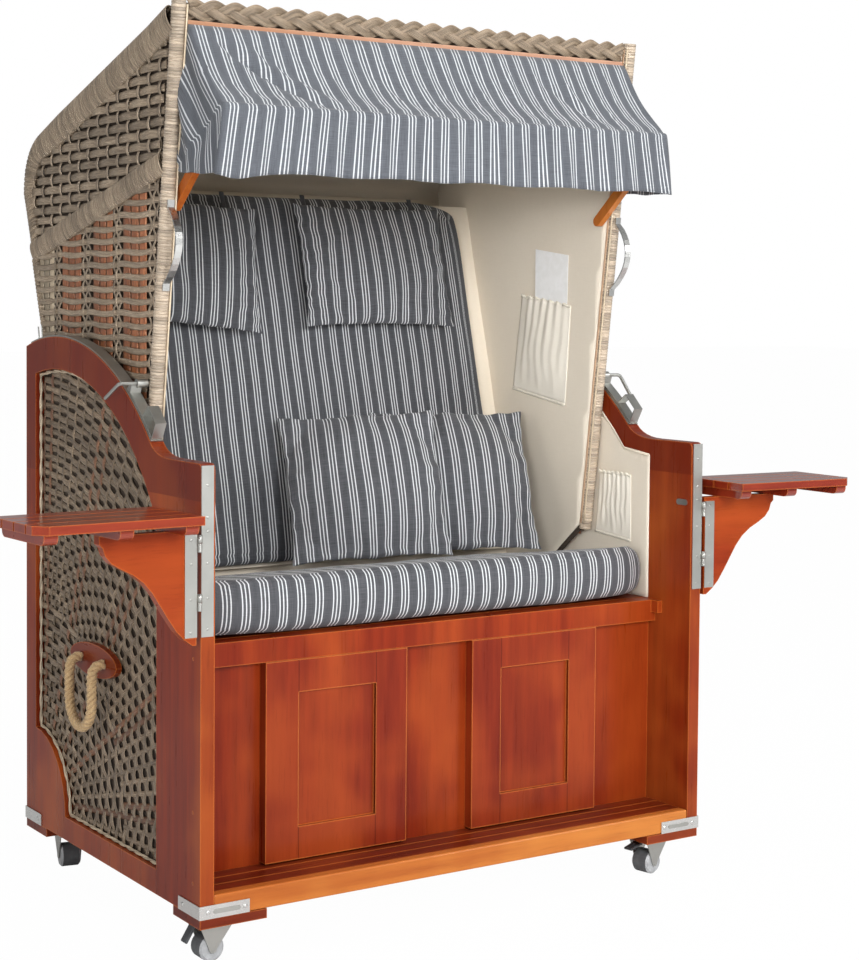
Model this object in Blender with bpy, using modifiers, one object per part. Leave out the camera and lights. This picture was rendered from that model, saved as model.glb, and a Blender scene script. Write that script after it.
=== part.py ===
"""Hooded beach chair for two, in metres, +Z up.

+X is the sitters' left, -Y is the open front. The origin lies on the ground, under the middle of the
whole chair. The wooden base stands on four swivel casters. The wicker hood turns back in it about one
axis, with the backrest, the awning and the neck pillows on it.
"""

import math

import bmesh
import bpy
from mathutils import Matrix, Vector

# Base
BASE_WIDTH = 1.18
BASE_DEPTH = 0.828
BASE_FRONT = -0.4255
CASTER_HEIGHT = 0.078
FOOT_HEIGHT = 0.018
PANEL_THICK = 0.028
ARM_HEIGHT = 0.825
ARM_LENGTH = 0.13
SEAT_HEIGHT = 0.478
RECESS_DEPTH = 0.135
BOARD_THICK = 0.018
FLOOR_THICK = 0.018
SEAM = 0.0003

# Axis of the hood, and the curved edge of the side panels round it
AXIS_BACK = 0.66
AXIS_UP = 0.42
EDGE_RADIUS = 0.62
ARM_DROP = 0.0257
EDGE_END_DEG = 180 - math.degrees(math.asin((ARM_HEIGHT + ARM_DROP - AXIS_UP) / EDGE_RADIUS))
EDGE_STEPS = 30

# Hood
HOOD_TOP = 1.674
HOOD_FRONT_BACK = 0.197
HOOD_FRONT_SLOPE = 0.1285
HOOD_WALL = 0.026
HOOD_INSET = 0.037
HOOD_FOOT_UP = 0.618
HOOD_KINK_UP = 0.55
ROLL_RADIUS = 0.0135
ROLL_END = 0.005
ROOF_SLOPE = 0.309
ROOF_END_BACK = 0.868
REAR_TOP_BACK = 0.947
REAR_TOP_UP = 1.36
REAR_SLOPE = 0.356
SHELL_THICK = 0.035

# Backrest: its front face meets the seat cushion at this place
RECLINE_DEG = 15.0
BACK_FOOT_BACK = 0.525
BACK_FOOT_ABOVE = 0.067
BACK_FOOT_UP = SEAT_HEIGHT + BACK_FOOT_ABOVE
BACK_LENGTH = 0.847
BACK_WIDTH = 0.94

# Wheels
WHEEL_RADIUS = 0.025
WHEEL_WIDTH = 0.042
CASTER_INSET_SIDE = 0.069
CASTER_INSET_FRONT = 0.062
CASTER_INSET_REAR = 0.055
CASTER_TRAIL = 0.023

# Stuffing of the seat and back cushions
CUSHION_ROUNDING = 0.02
CUSHION_CROWN = 0.009
CUSHION_WAIST = 0.005
CUSHION_CORNER = 0.032

HALF = BASE_WIDTH / 2
BASE_BOTTOM = CASTER_HEIGHT + FOOT_HEIGHT
INNER = HALF - PANEL_THICK - SEAM
HOOD_OUTER = HALF - HOOD_INSET
HOOD_INNER = HOOD_OUTER - HOOD_WALL
HOOD_REACH = HOOD_OUTER - HOOD_WALL / 2 - ROLL_RADIUS - SEAM
SIDES = (("left", -1), ("right", 1))
CORNERS = (("front_left", -1, 1), ("front_right", 1, 1), ("rear_left", -1, -1), ("rear_right", 1, -1))
CUT = 0.01

PIECES = "hooded_beach_chair"
CUTTERS = "cutters"


def back(distance):
    """The Y of a place this far behind the front of the base."""
    return BASE_FRONT + distance


def up(height):
    """The Z of a place this far above the bottom of the base."""
    return BASE_BOTTOM + height


def reset_scene():
    for obj in list(bpy.data.objects):
        bpy.data.objects.remove(obj, do_unlink=True)
    for name in (PIECES, CUTTERS):
        bpy.context.scene.collection.children.link(bpy.data.collections.new(name))


def material(name, colour, roughness, metallic=0.0):
    found = bpy.data.materials.get(name)
    if found:
        return found
    made = bpy.data.materials.new(name)
    made.use_nodes = True
    shader = made.node_tree.nodes["Principled BSDF"]
    shader.inputs["Base Color"].default_value = (*colour, 1.0)
    shader.inputs["Roughness"].default_value = roughness
    shader.inputs["Metallic"].default_value = metallic
    return made


def wood():
    return material("stained_wood", (0.33, 0.07, 0.03), 0.35)


def light_wood():
    return material("front_wood", (0.55, 0.16, 0.05), 0.35)


def wicker():
    return material("wicker", (0.34, 0.29, 0.24), 0.6)


def steel():
    return material("steel", (0.62, 0.62, 0.58), 0.35, 1.0)


def grey_plastic():
    return material("grey_plastic", (0.22, 0.23, 0.24), 0.5)


def rope():
    return material("rope", (0.6, 0.45, 0.28), 0.9)


def lining():
    return material("lining", (0.72, 0.67, 0.56), 0.9)


def stripes():
    return material("striped_cloth", (0.2, 0.22, 0.26), 0.9)


def from_bmesh(name, mesh_data, finish, location=(0, 0, 0), rotation=(0, 0, 0)):
    mesh = bpy.data.meshes.new(name)
    mesh_data.to_mesh(mesh)
    mesh_data.free()
    obj = bpy.data.objects.new(name, mesh)
    obj.location = location
    obj.rotation_euler = rotation
    if finish:
        mesh.materials.append(finish)
    bpy.data.collections[PIECES].objects.link(obj)
    return obj


def box(name, low, high, finish=None):
    low, high = Vector(low), Vector(high)
    shape = bmesh.new()
    bmesh.ops.create_cube(shape, size=1.0)
    bmesh.ops.scale(shape, vec=high - low, verts=shape.verts)
    return from_bmesh(name, shape, finish, (low + high) / 2)


def rod(name, start, end, radius, finish=None, sides=16, end_radius=None):
    """A round bar or a cone from start to end."""
    start, end = Vector(start), Vector(end)
    run = end - start
    shape = bmesh.new()
    bmesh.ops.create_cone(
        shape, cap_ends=True, segments=sides, radius1=radius,
        radius2=radius if end_radius is None else end_radius, depth=run.length,
    )
    obj = from_bmesh(name, shape, finish, (start + end) / 2, run.to_track_quat("Z", "Y").to_euler())
    obj.data.shade_smooth()
    obj.data.set_sharp_from_angle(angle=math.radians(40))
    return obj


def curve_to_mesh(obj):
    """The same shape as a welded mesh object, which takes the place of the curve."""
    bpy.context.view_layer.update()
    graph = bpy.context.evaluated_depsgraph_get()
    mesh = bpy.data.meshes.new_from_object(obj.evaluated_get(graph))
    shape = bmesh.new()
    shape.from_mesh(mesh)
    bmesh.ops.remove_doubles(shape, verts=shape.verts, dist=SEAM / 10)
    bmesh.ops.recalc_face_normals(shape, faces=shape.faces)
    shape.to_mesh(mesh)
    shape.free()
    name, place, finish = obj.name, obj.matrix_world.copy(), obj.data.materials[:]
    bpy.data.objects.remove(obj, do_unlink=True)
    solid = bpy.data.objects.new(name, mesh)
    solid.matrix_world = place
    if not mesh.materials:
        for item in finish:
            mesh.materials.append(item)
    bpy.data.collections[PIECES].objects.link(solid)
    return solid


# A slab's outline is given in two world axes, and its thickness runs along the third.
ACROSS_X = Matrix(((0, 0, 1), (1, 0, 0), (0, 1, 0))).to_4x4()
ACROSS_Y = Matrix(((1, 0, 0), (0, 0, -1), (0, 1, 0))).to_4x4()
ACROSS_Z = Matrix.Identity(4)


def slab(name, outline, across, low, high, finish=None, holes=()):
    """A flat piece from its outline: (y, z) for ACROSS_X, (x, z) for ACROSS_Y, (x, y) for ACROSS_Z."""
    data = bpy.data.curves.new(name, "CURVE")
    data.dimensions = "2D"
    data.fill_mode = "BOTH"
    data.extrude = abs(high - low) / 2
    for ring in (outline, *holes):
        spline = data.splines.new("POLY")
        spline.points.add(len(ring) - 1)
        for point, (first, second) in zip(spline.points, ring):
            point.co = (first, second, 0, 1)
        spline.use_cyclic_u = True
    if finish:
        data.materials.append(finish)
    obj = bpy.data.objects.new(name, data)
    bpy.data.collections[PIECES].objects.link(obj)
    middle = across.to_3x3() @ Vector((0, 0, 1))
    shift = (low + high) / 2 * (-1 if across == ACROSS_Y else 1)
    obj.matrix_world = Matrix.Translation(middle * shift) @ across
    return curve_to_mesh(obj)


def tube(name, points, radius, finish=None, resolution=2):
    data = bpy.data.curves.new(name, "CURVE")
    data.dimensions = "3D"
    data.bevel_depth = radius
    data.bevel_resolution = resolution
    data.use_fill_caps = True
    spline = data.splines.new("POLY")
    spline.points.add(len(points) - 1)
    for point, place in zip(spline.points, points):
        point.co = (*place, 1)
    if finish:
        data.materials.append(finish)
    obj = bpy.data.objects.new(name, data)
    bpy.data.collections[PIECES].objects.link(obj)
    solid = curve_to_mesh(obj)
    solid.data.shade_smooth()
    return solid


def combine(target, tools, operation):
    """Joins the tools to the target with UNION, or cuts them from it with DIFFERENCE."""
    for tool in tools:
        step = target.modifiers.new(tool.name, "BOOLEAN")
        step.operation = operation
        step.object = tool
        tool.hide_render = True
        tool.display_type = "WIRE"
        bpy.data.collections[PIECES].objects.unlink(tool)
        bpy.data.collections[CUTTERS].objects.link(tool)
    hang_on(target, *tools)
    return target


def joined(target, *tools):
    return combine(target, tools, "UNION")


def cut(target, *tools):
    return combine(target, tools, "DIFFERENCE")


def rounded(obj, width, segments=2):
    step = obj.modifiers.new("edges", "BEVEL")
    step.width = width
    step.segments = segments
    step.limit_method = "ANGLE"
    return obj


def arc(centre, radius, start_deg, end_deg, steps):
    """Points (first, second) along an arc, both ends included."""
    points = []
    for i in range(steps + 1):
        angle = math.radians(start_deg + (end_deg - start_deg) * i / steps)
        points.append((centre[0] + radius * math.cos(angle), centre[1] + radius * math.sin(angle)))
    return points


def bend(start, control, end, steps):
    """Points along a quadratic curve, both ends included."""
    points = []
    for i in range(steps + 1):
        t = i / steps
        points.append(tuple(
            (1 - t) ** 2 * a + 2 * t * (1 - t) * b + t ** 2 * c for a, b, c in zip(start, control, end)
        ))
    return points


def soft_block(name, size, cuts, finish, half_width_at=None, fall=0.0):
    """A stuffed block about its own centre. Its top and bottom rise by the crown in the middle, its edges
    and corners are rounded, and its sides draw in by the waist between the corners. half_width_at gives
    the half width at a depth, where the outline isn't a rectangle. The top falls evenly to the rear."""
    shape = bmesh.new()
    bmesh.ops.create_cube(shape, size=2.0)
    for axis, count in enumerate(cuts):
        along = [e for e in shape.edges if abs((e.verts[0].co - e.verts[1].co)[axis]) > 1]
        bmesh.ops.subdivide_edges(shape, edges=along, cuts=count, use_grid_fill=True)
    half_x, half_y, half_z = (extent / 2 for extent in size)
    for vert in shape.verts:
        u, v, w = vert.co
        shrink = CUSHION_ROUNDING * (1 - math.sqrt(max(0.0, 1 - w * w))) * max(abs(u), abs(v)) ** 6
        y = v * (half_y - shrink - CUSHION_WAIST * (1 - u * u) * abs(v) ** 3 - CUSHION_CORNER * u ** 10)
        wide = half_width_at(y) if half_width_at else half_x
        x = u * (wide - shrink - CUSHION_WAIST * (1 - v * v) * abs(u) ** 3 - CUSHION_CORNER / 3 * v ** 10)
        z = w * (half_z - CUSHION_CROWN + CUSHION_CROWN * (1 - u ** 4) * (1 - v ** 4))
        z -= fall * (1 + v) / 2 * (1 + w) / 2
        vert.co = (x, y, z)
    obj = from_bmesh(name, shape, finish)
    obj.data.shade_smooth()
    return obj


PILLOW_EDGE = 0.006
PILLOW_CORNER_SHARE = 0.035


def pillow(name, width, height, thick, finish, cuts=9):
    """A stuffed pillow in its own XZ plane, with a sewn edge, corners that stand out and a crown."""
    shape = bmesh.new()
    bmesh.ops.create_cube(shape, size=2.0)
    for axis in (0, 2):
        along = [e for e in shape.edges if abs((e.verts[0].co - e.verts[1].co)[axis]) > 1]
        bmesh.ops.subdivide_edges(shape, edges=along, cuts=cuts, use_grid_fill=True)
    for vert in shape.verts:
        u, side, v = vert.co
        fill = ((1 - u * u) * (1 - v * v)) ** 0.42
        x = u * width / 2 * (1 - PILLOW_CORNER_SHARE * (1 - v * v) * 2)
        z = v * height / 2 * (1 - PILLOW_CORNER_SHARE * (1 - u * u) * 2)
        vert.co = (x, side * (PILLOW_EDGE + (thick - PILLOW_EDGE) * fill) / 2, z)
    obj = from_bmesh(name, shape, finish)
    obj.data.shade_smooth()
    return obj


def axis_empty(name, place):
    empty = bpy.data.objects.new(name, None)
    empty.location = place
    bpy.data.collections[PIECES].objects.link(empty)
    return empty


def hang_on(carrier, *pieces):
    """Parents the pieces to the carrier and leaves them where they are."""
    bpy.context.view_layer.update()
    for piece in pieces:
        piece.parent = carrier
        piece.matrix_parent_inverse = carrier.matrix_world.inverted()


# Side panels of the base

FRONT_STILE = 0.183
REAR_STILE = 0.052
BOTTOM_RAIL = 0.048
INSERT_RADIUS = 0.553
INSERT_RECESS = 0.010
INSERT_THICK = 0.012
SHELL_CORNER_RADIUS = 0.158
CROSS_RAIL_HEIGHT = 0.05
CROSS_RAIL_THICK = 0.011
CROSS_RAIL_TENON = 0.02
ARM_NOSE_RADIUS = 0.012
PIN_RADIUS = 0.006
AXIS_YZ = (back(AXIS_BACK), up(AXIS_UP))


def edge_point(radius, angle_deg):
    angle = math.radians(angle_deg)
    return (AXIS_YZ[0] + radius * math.cos(angle), AXIS_YZ[1] + radius * math.sin(angle))


def angle_at_back(radius, distance):
    return math.degrees(math.acos((distance - AXIS_BACK) / radius))


def side_panel_outline():
    bottom = up(SEAM)
    rear_angle = angle_at_back(EDGE_RADIUS, BASE_DEPTH)
    curve_end = edge_point(EDGE_RADIUS, EDGE_END_DEG)
    fall = math.radians(EDGE_END_DEG - 90)
    drop = curve_end[1] - up(ARM_HEIGHT)
    corner = (curve_end[0] - drop / math.tan(fall), up(ARM_HEIGHT))
    nose = (back(ARM_NOSE_RADIUS), up(ARM_HEIGHT - ARM_NOSE_RADIUS))
    return (
        [(BASE_FRONT, bottom), (back(BASE_DEPTH), bottom)]
        + arc(AXIS_YZ, EDGE_RADIUS, rear_angle, EDGE_END_DEG, EDGE_STEPS)
        + bend(curve_end, corner, (back(ARM_LENGTH), up(ARM_HEIGHT)), 6)[1:]
        + arc(nose, ARM_NOSE_RADIUS, 90, 180, 3)
    )


def insert_outline(inset):
    """The opening of a side panel, or with an inset, the wicker that fills it."""
    low, front = up(BOTTOM_RAIL + inset), back(FRONT_STILE + inset)
    rear = back(BASE_DEPTH - REAR_STILE - inset)
    corner = (back(BASE_DEPTH - REAR_STILE), up(BOTTOM_RAIL))
    radius = INSERT_RADIUS - inset
    cut_radius = SHELL_CORNER_RADIUS + inset
    start = angle_at_back(radius, BASE_DEPTH - REAR_STILE - inset)
    end = angle_at_back(radius, FRONT_STILE + inset)
    tilt = math.degrees(math.asin(inset / cut_radius))
    return (
        [(front, low)]
        + arc(corner, cut_radius, 180 - tilt, 90 + tilt, 8)
        + arc(AXIS_YZ, radius, start, end, 14)
    )


def side_panel(side, sign):
    outer, inner = sign * HALF, sign * (HALF - PANEL_THICK)
    panel = slab(f"side_panel_{side}", side_panel_outline(), ACROSS_X, inner, outer, wood(),
                 [insert_outline(0)])
    rail_outer = sign * (HALF - INSERT_RECESS - INSERT_THICK - SEAM)
    rail_inner = rail_outer - sign * CROSS_RAIL_THICK
    rail = box(
        f"cross_rail_{side}",
        (min(rail_outer, rail_inner), back(FRONT_STILE - CROSS_RAIL_TENON),
         up(AXIS_UP - CROSS_RAIL_HEIGHT / 2)),
        (max(rail_outer, rail_inner), back(BASE_DEPTH - REAR_STILE + CROSS_RAIL_TENON),
         up(AXIS_UP + CROSS_RAIL_HEIGHT / 2)),
    )
    hole = rod(f"axis_hole_{side}", (rail_outer + sign * CUT, *AXIS_YZ), (rail_inner - sign * CUT, *AXIS_YZ),
               PIN_RADIUS + SEAM)
    return cut(joined(panel, rail), hole)


def side_wicker(side, sign):
    outer = sign * (HALF - INSERT_RECESS)
    return slab(f"side_wicker_{side}", insert_outline(SEAM), ACROSS_X, outer - sign * INSERT_THICK, outer,
                wicker())


LINING_THICK = 0.003
LINING_RADIUS = 0.58
LINING_FRONT_UP = 0.79
LINING_SHOULDER_UP = 0.80


def side_lining(side, sign):
    """The lined board inside each side panel, from the seat up to just under the curved edge."""
    outer = sign * INNER
    shoulder = math.degrees(math.asin((LINING_SHOULDER_UP - AXIS_UP) / LINING_RADIUS))
    rear = BASE_DEPTH - REAR_STILE
    seat = up(SEAT_HEIGHT + SEAM)
    outline = (
        [(back(RECESS_DEPTH), seat), (back(rear), seat)]
        + arc(AXIS_YZ, LINING_RADIUS, angle_at_back(LINING_RADIUS, rear), 180 - shoulder, 12)
        + [(back(RECESS_DEPTH), up(LINING_FRONT_UP))]
    )
    return slab(f"side_lining_{side}", outline, ACROSS_X, outer - sign * LINING_THICK, outer, lining())


# Floor, plinth, front, rear and seat of the base

FOOT_WIDTH = 0.137
FOOT_DEPTH = 0.11
FLOOR_SINK = 0.004
PLINTH_THICK = 0.022
PLINTH_HEIGHT = 0.042
PLINTH_ROUNDING = 0.003
REAR_THICK = 0.028
REAR_PANEL_HEIGHT = 0.46
REAR_RAIL = 0.05
REAR_FIELD_RECESS = 0.010
STEM_RADIUS = 0.005
STEM_LENGTH = 0.014
STEM_CLEARANCE = 0.0003


def caster_place(sign, front):
    """(x, y) of a caster's swivel axis. front is 1 for a front caster and -1 for a rear one."""
    y = back(CASTER_INSET_FRONT) if front > 0 else back(BASE_DEPTH - CASTER_INSET_REAR)
    return sign * (HALF - CASTER_INSET_SIDE), y


def base_floor():
    floor = box(
        "base_floor",
        (-INNER, back(PLINTH_THICK + SEAM), up(-FLOOR_SINK)),
        (INNER, back(BASE_DEPTH - REAR_THICK - SEAM), up(FLOOR_THICK)),
        wood(),
    )
    feet, holes = [], []
    start, end = RECESS_DEPTH + BOARD_THICK + SEAM, RECESS_DEPTH + FOOTREST_LENGTH
    for side, sign in SIDES:
        for n, turn in enumerate((-1, 1)):
            middle = sign * FOOTREST_X + turn * FOOTREST_GUIDE_OUT
            feet.append(box(f"footrest_guide_{side}_{n}", (middle - GUIDE_WIDTH / 2, back(start), up(0)),
                            (middle + GUIDE_WIDTH / 2, back(end), up(FOOTREST_LOW - SEAM))))
    for corner, sign, front in CORNERS:
        ends = (0, FOOT_DEPTH) if front > 0 else (BASE_DEPTH - FOOT_DEPTH, BASE_DEPTH)
        across = sorted((sign * HALF, sign * (HALF - FOOT_WIDTH)))
        feet.append(box(f"foot_{corner}", (across[0], back(ends[0]), CASTER_HEIGHT),
                        (across[1], back(ends[1]), BASE_BOTTOM)))
        x, y = caster_place(sign, front)
        top = CASTER_HEIGHT + STEM_LENGTH + STEM_CLEARANCE * 2
        holes.append(rod(f"stem_hole_{corner}", (x, y, CASTER_HEIGHT - CUT), (x, y, top),
                         STEM_RADIUS + STEM_CLEARANCE, sides=12))
    return cut(joined(floor, *feet), *holes)


def plinth_rail():
    return rounded(box("plinth_rail", (-INNER, BASE_FRONT, up(SEAM)),
                       (INNER, back(PLINTH_THICK), up(PLINTH_HEIGHT)), light_wood()), PLINTH_ROUNDING)


def rear_panel():
    """The framed wicker panel across the back, low enough for the hood to lean over."""
    rear = back(BASE_DEPTH)
    inner = rear - REAR_THICK
    panel = box("rear_panel", (-INNER, inner, up(SEAM)), (INNER, rear, up(REAR_PANEL_HEIGHT)), wicker())
    field = box(
        "rear_field",
        (-INNER + REAR_RAIL, rear - REAR_FIELD_RECESS, up(REAR_RAIL)),
        (INNER - REAR_RAIL, rear + CUT, up(REAR_PANEL_HEIGHT - REAR_RAIL)),
    )
    return cut(panel, field)


FOOTREST_WIDTH = 0.318
FOOTREST_X = 0.238
FOOTREST_LOW = 0.045
SEAT_RAIL_HEIGHT = 0.0465
FOOTREST_HIGH = SEAT_HEIGHT - SEAT_RAIL_HEIGHT
FOOTREST_PROUD = 0.025
FOOTREST_LENGTH = 0.38
GUIDE_WIDTH = 0.03
FOOTREST_GUIDE_OUT = 0.1295
FOOTREST_LAP = 0.02
FOOTREST_SLACK = 0.002
FOOTREST_BOX_DROP = 0.0315
FOOTREST_BOX_TOP = FOOTREST_HIGH - FOOTREST_BOX_DROP
FOOTREST_BOARD = 0.015
FIELD_MARGIN_SIDE = 0.072
FIELD_MARGIN_END = 0.063
FIELD_DEPTH = 0.008
SEAT_RAIL_PROUD = 0.023
CLEAT_THICK = 0.012
CLEAT_HEIGHT = 0.026
CLEAT_REACH = 0.022


def seat_front():
    """Seat rail and the boards under it, with an opening for each footrest."""
    face = back(RECESS_DEPTH)
    top = up(SEAT_HEIGHT - SEAM)
    boards = box("seat_front", (-INNER, face, up(FLOOR_THICK + SEAM)), (INNER, face + BOARD_THICK, top),
                 wood())
    rail = box("seat_rail", (-INNER, face - SEAT_RAIL_PROUD, up(FOOTREST_HIGH + SEAM)),
               (INNER, face + BOARD_THICK, top))
    cleats, openings = [], []
    for side, sign in SIDES:
        ends = sorted((sign * INNER, sign * (INNER - CLEAT_THICK)))
        front = face - SEAT_RAIL_PROUD
        cleats.append(box(f"cleat_{side}", (ends[0], front - CLEAT_REACH, top - CLEAT_HEIGHT),
                          (ends[1], front + SEAT_RAIL_PROUD / 2, top)))
        reach = FOOTREST_WIDTH / 2 - FOOTREST_LAP
        openings.append(box(
            f"footrest_opening_{side}",
            (sign * FOOTREST_X - reach, face - CUT, up(-CUT)),
            (sign * FOOTREST_X + reach, face + BOARD_THICK + CUT, up(FOOTREST_BOX_TOP + FOOTREST_SLACK)),
        ))
    return cut(joined(boards, rail, *cleats), *openings)


def seat_board():
    front = RECESS_DEPTH + BOARD_THICK + SEAM
    return box("seat_board", (-INNER, back(front), up(SEAT_HEIGHT - BOARD_THICK)),
               (INNER, back(SEAT_BOARD_END), up(SEAT_HEIGHT)), wood())


SEAT_BOARD_END = 0.5
SEAT_CUSHION_THICK = 0.122
SEAT_CUSHION_FRONT = 0.112
SEAT_CUSHION_END = 0.505
SEAT_CUSHION_STEP = 0.295
CUSHION_SLACK = 0.004
SEAT_CUSHION_FALL = 0.055


def seat_cushion():
    """Full width in front of the hood's sides, and narrower between them."""
    length = SEAT_CUSHION_END - SEAT_CUSHION_FRONT
    wide = INNER - LINING_THICK - CUSHION_SLACK / 2
    narrow = HOOD_INNER - CUSHION_SLACK
    middle = (SEAT_CUSHION_FRONT + SEAT_CUSHION_END) / 2

    def half_width_at(y):
        return wide if y + middle < SEAT_CUSHION_STEP else narrow

    cushion = soft_block("seat_cushion", (2 * wide, length, SEAT_CUSHION_THICK), (19, 8, 3), stripes(),
                         half_width_at, SEAT_CUSHION_FALL)
    cushion.location = (0, back(middle), up(SEAT_HEIGHT + SEAM) + SEAT_CUSHION_THICK / 2)
    return cushion


# Loose pillows: width, height and thickness, then the centre across, back and up from the seat
PILLOW_LENGTHS = {
    "left": (0.355, 0.345, 0.105, 0.028, 0.451, 0.2418),
    "right": (0.36, 0.352, 0.105, 0.272, 0.4626, 0.2427),
}
# Their lean, turn and tilt
PILLOW_DEGS = {"left": (26.0, -22.0, 3.0), "right": (31.0, -20.0, 0.0)}


def loose_pillows():
    for side in PILLOW_LENGTHS:
        width, height, thick, across, behind, above = PILLOW_LENGTHS[side]
        lean, turn, tilt = (math.radians(angle) for angle in PILLOW_DEGS[side])
        obj = pillow(f"pillow_{side}", width, height, thick, stripes())
        obj.matrix_world = (
            Matrix.Translation((across, back(behind), up(SEAT_HEIGHT + above))) @ Matrix.Rotation(turn, 4, "Z")
            @ Matrix.Rotation(-lean, 4, "X") @ Matrix.Rotation(-tilt, 4, "Y")
        )


# Metal and rope on the base

BRACKET_LEG_FRONT = 0.10
BRACKET_LEG_SIDE = 0.085
BRACKET_HEIGHT = 0.025
METAL_THICK = 0.002


def corner_bracket(corner, sign, front):
    """An angle of flat steel round a bottom corner."""
    face = BASE_FRONT if front > 0 else back(BASE_DEPTH)
    out = SEAM + METAL_THICK
    x = sign * HALF

    def place(across, along):
        return (x + sign * across, face + front * along)

    outline = [
        place(out, -out), place(-BRACKET_LEG_FRONT, -out), place(-BRACKET_LEG_FRONT, -SEAM),
        place(SEAM, -SEAM), place(SEAM, BRACKET_LEG_SIDE), place(out, BRACKET_LEG_SIDE),
    ]
    return slab(f"corner_bracket_{corner}", outline, ACROSS_Z, BASE_BOTTOM + SEAM,
                BASE_BOTTOM + BRACKET_HEIGHT, steel())


LEAF_LOW = 0.514
LEAF_HIGH = 0.822
LEAF_MARGIN = 0.0035
KNUCKLE_RADIUS = 0.0042
KNUCKLE_LENGTH = 0.015
KNUCKLES_UP = (0.562, 0.668)
TABLE_AXIS_OUT = 0.0044
TABLE_AXIS_AHEAD = 0.0046


def table_axis(sign):
    return sign * (HALF + TABLE_AXIS_OUT), BASE_FRONT - TABLE_AXIS_AHEAD


def knuckles(name, sign, turn, lift):
    """Half of each hinge knuckle, with the web that joins it to a leaf on the side that turn gives."""
    x, y = table_axis(sign)
    leaf_back = BASE_FRONT - SEAM
    ends = sorted((x, x + sign * turn * KNUCKLE_RADIUS * 1.6))
    pieces = []
    for n, height in enumerate(KNUCKLES_UP):
        low, high = up(height + lift), up(height + lift + KNUCKLE_LENGTH)
        pieces.append(rod(f"{name}_knuckle_{n}", (x, y, low), (x, y, high), KNUCKLE_RADIUS, sides=12))
        pieces.append(box(f"{name}_web_{n}", (ends[0], leaf_back - METAL_THICK * 0.9, low + SEAM),
                          (ends[1], leaf_back - METAL_THICK * 0.1, high - SEAM)))
    return pieces


def hinge_leaf(side, sign):
    """The long steel leaf on the front edge of a side panel, with its half of each knuckle."""
    x, y = table_axis(sign)
    ends = sorted((sign * (HALF - PANEL_THICK + LEAF_MARGIN), x - sign * (KNUCKLE_RADIUS + SEAM)))
    leaf = box(f"hinge_leaf_{side}", (ends[0], BASE_FRONT - SEAM - METAL_THICK, up(LEAF_LOW)),
               (ends[1], BASE_FRONT - SEAM, up(LEAF_HIGH)), steel())
    return joined(leaf, *knuckles(leaf.name, sign, -1, 0))


RAIL_THICK = 0.003
RAIL_MARGIN = 0.0015
RAIL_START_DEG = 76.5
STOP_PIN_RADIUS = 0.0016
STOP_PIN_LENGTH = 0.03
STOP_PIN_DEGS = (78.0, 79.6)


def arc_bar(name, radius, thick, start_deg, end_deg, low, high, finish, steps=12):
    outline = arc(AXIS_YZ, radius, start_deg, end_deg, steps)
    outline += arc(AXIS_YZ, radius + thick, end_deg, start_deg, steps)
    return slab(name, outline, ACROSS_X, low, high, finish)


def recline_rail(side, sign):
    """The curved steel bar along the top of a side panel, with two stop pins at its rear end."""
    radius = EDGE_RADIUS + SEAM
    low, high = sign * (HALF - PANEL_THICK + RAIL_MARGIN), sign * (HALF - RAIL_MARGIN)
    bar = arc_bar(f"recline_rail_{side}", radius, RAIL_THICK, RAIL_START_DEG, EDGE_END_DEG, low, high,
                  steel(), EDGE_STEPS)
    pins = []
    for n, angle in enumerate(STOP_PIN_DEGS):
        start = edge_point(radius + RAIL_THICK / 2, angle)
        end = edge_point(radius + RAIL_THICK + STOP_PIN_LENGTH, angle)
        x = (low + high) / 2
        pins.append(rod(f"stop_pin_{side}_{n}", (x, *start), (x, *end), STOP_PIN_RADIUS, sides=8))
    return joined(bar, *pins)


PLATE_BACK = 0.472
PLATE_UP = 0.398
PLATE_LENGTH = 0.225
PLATE_HEIGHT = 0.066
PLATE_THICK = 0.012
PLATE_BEAD = 0.012
ROPE_RADIUS = 0.011
ROPE_SPREAD = 0.11
ROPE_DROP = 0.131
ROPE_STAND = 0.026
ROPE_BEND_SHARES = ((0.35, 0), (0.75, 0.15), (0.96, 0.5), (1, 1))


def handle_plate(side, sign):
    """The oval wooden plate that carries the rope handle, set on the wicker."""
    half_length, half_height = PLATE_LENGTH / 2, PLATE_HEIGHT / 2
    centre = (back(PLATE_BACK), up(PLATE_UP))
    outline = [
        (centre[0] + half_length * x, centre[1] + half_height * z)
        for x, z in arc((0, 0), 1.0, 0, 345, 23)
    ]
    inner = sign * (HALF - INSERT_RECESS + SEAM)
    return slab(f"handle_plate_{side}", outline, ACROSS_X, inner, inner + sign * PLATE_THICK, wood())


def rope_route(sign):
    """Centre line of the rope: out of the plate, down in a narrow U, and back into it."""
    face = sign * (HALF - INSERT_RECESS + SEAM + PLATE_THICK + SEAM)
    stand = face + sign * ROPE_STAND
    turn = ROPE_SPREAD / 2
    top, middle = up(PLATE_UP), back(PLATE_BACK)
    points = []
    for end in (-1, 1):
        y = middle + end * turn
        side = [(face, y, top)]
        side += [
            (face + sign * ROPE_STAND * out_share, y, top - ROPE_STAND * drop_share)
            for out_share, drop_share in ROPE_BEND_SHARES
        ]
        points += side if end < 0 else side[::-1]
        if end < 0:
            low = top - ROPE_DROP + turn
            points += [(stand, y, z) for y, z in arc((middle, low), turn, 180, 360, 10)]
    return points


def rope_handle(side, sign):
    return tube(f"rope_handle_{side}", rope_route(sign), ROPE_RADIUS, rope())


# Casters

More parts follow.
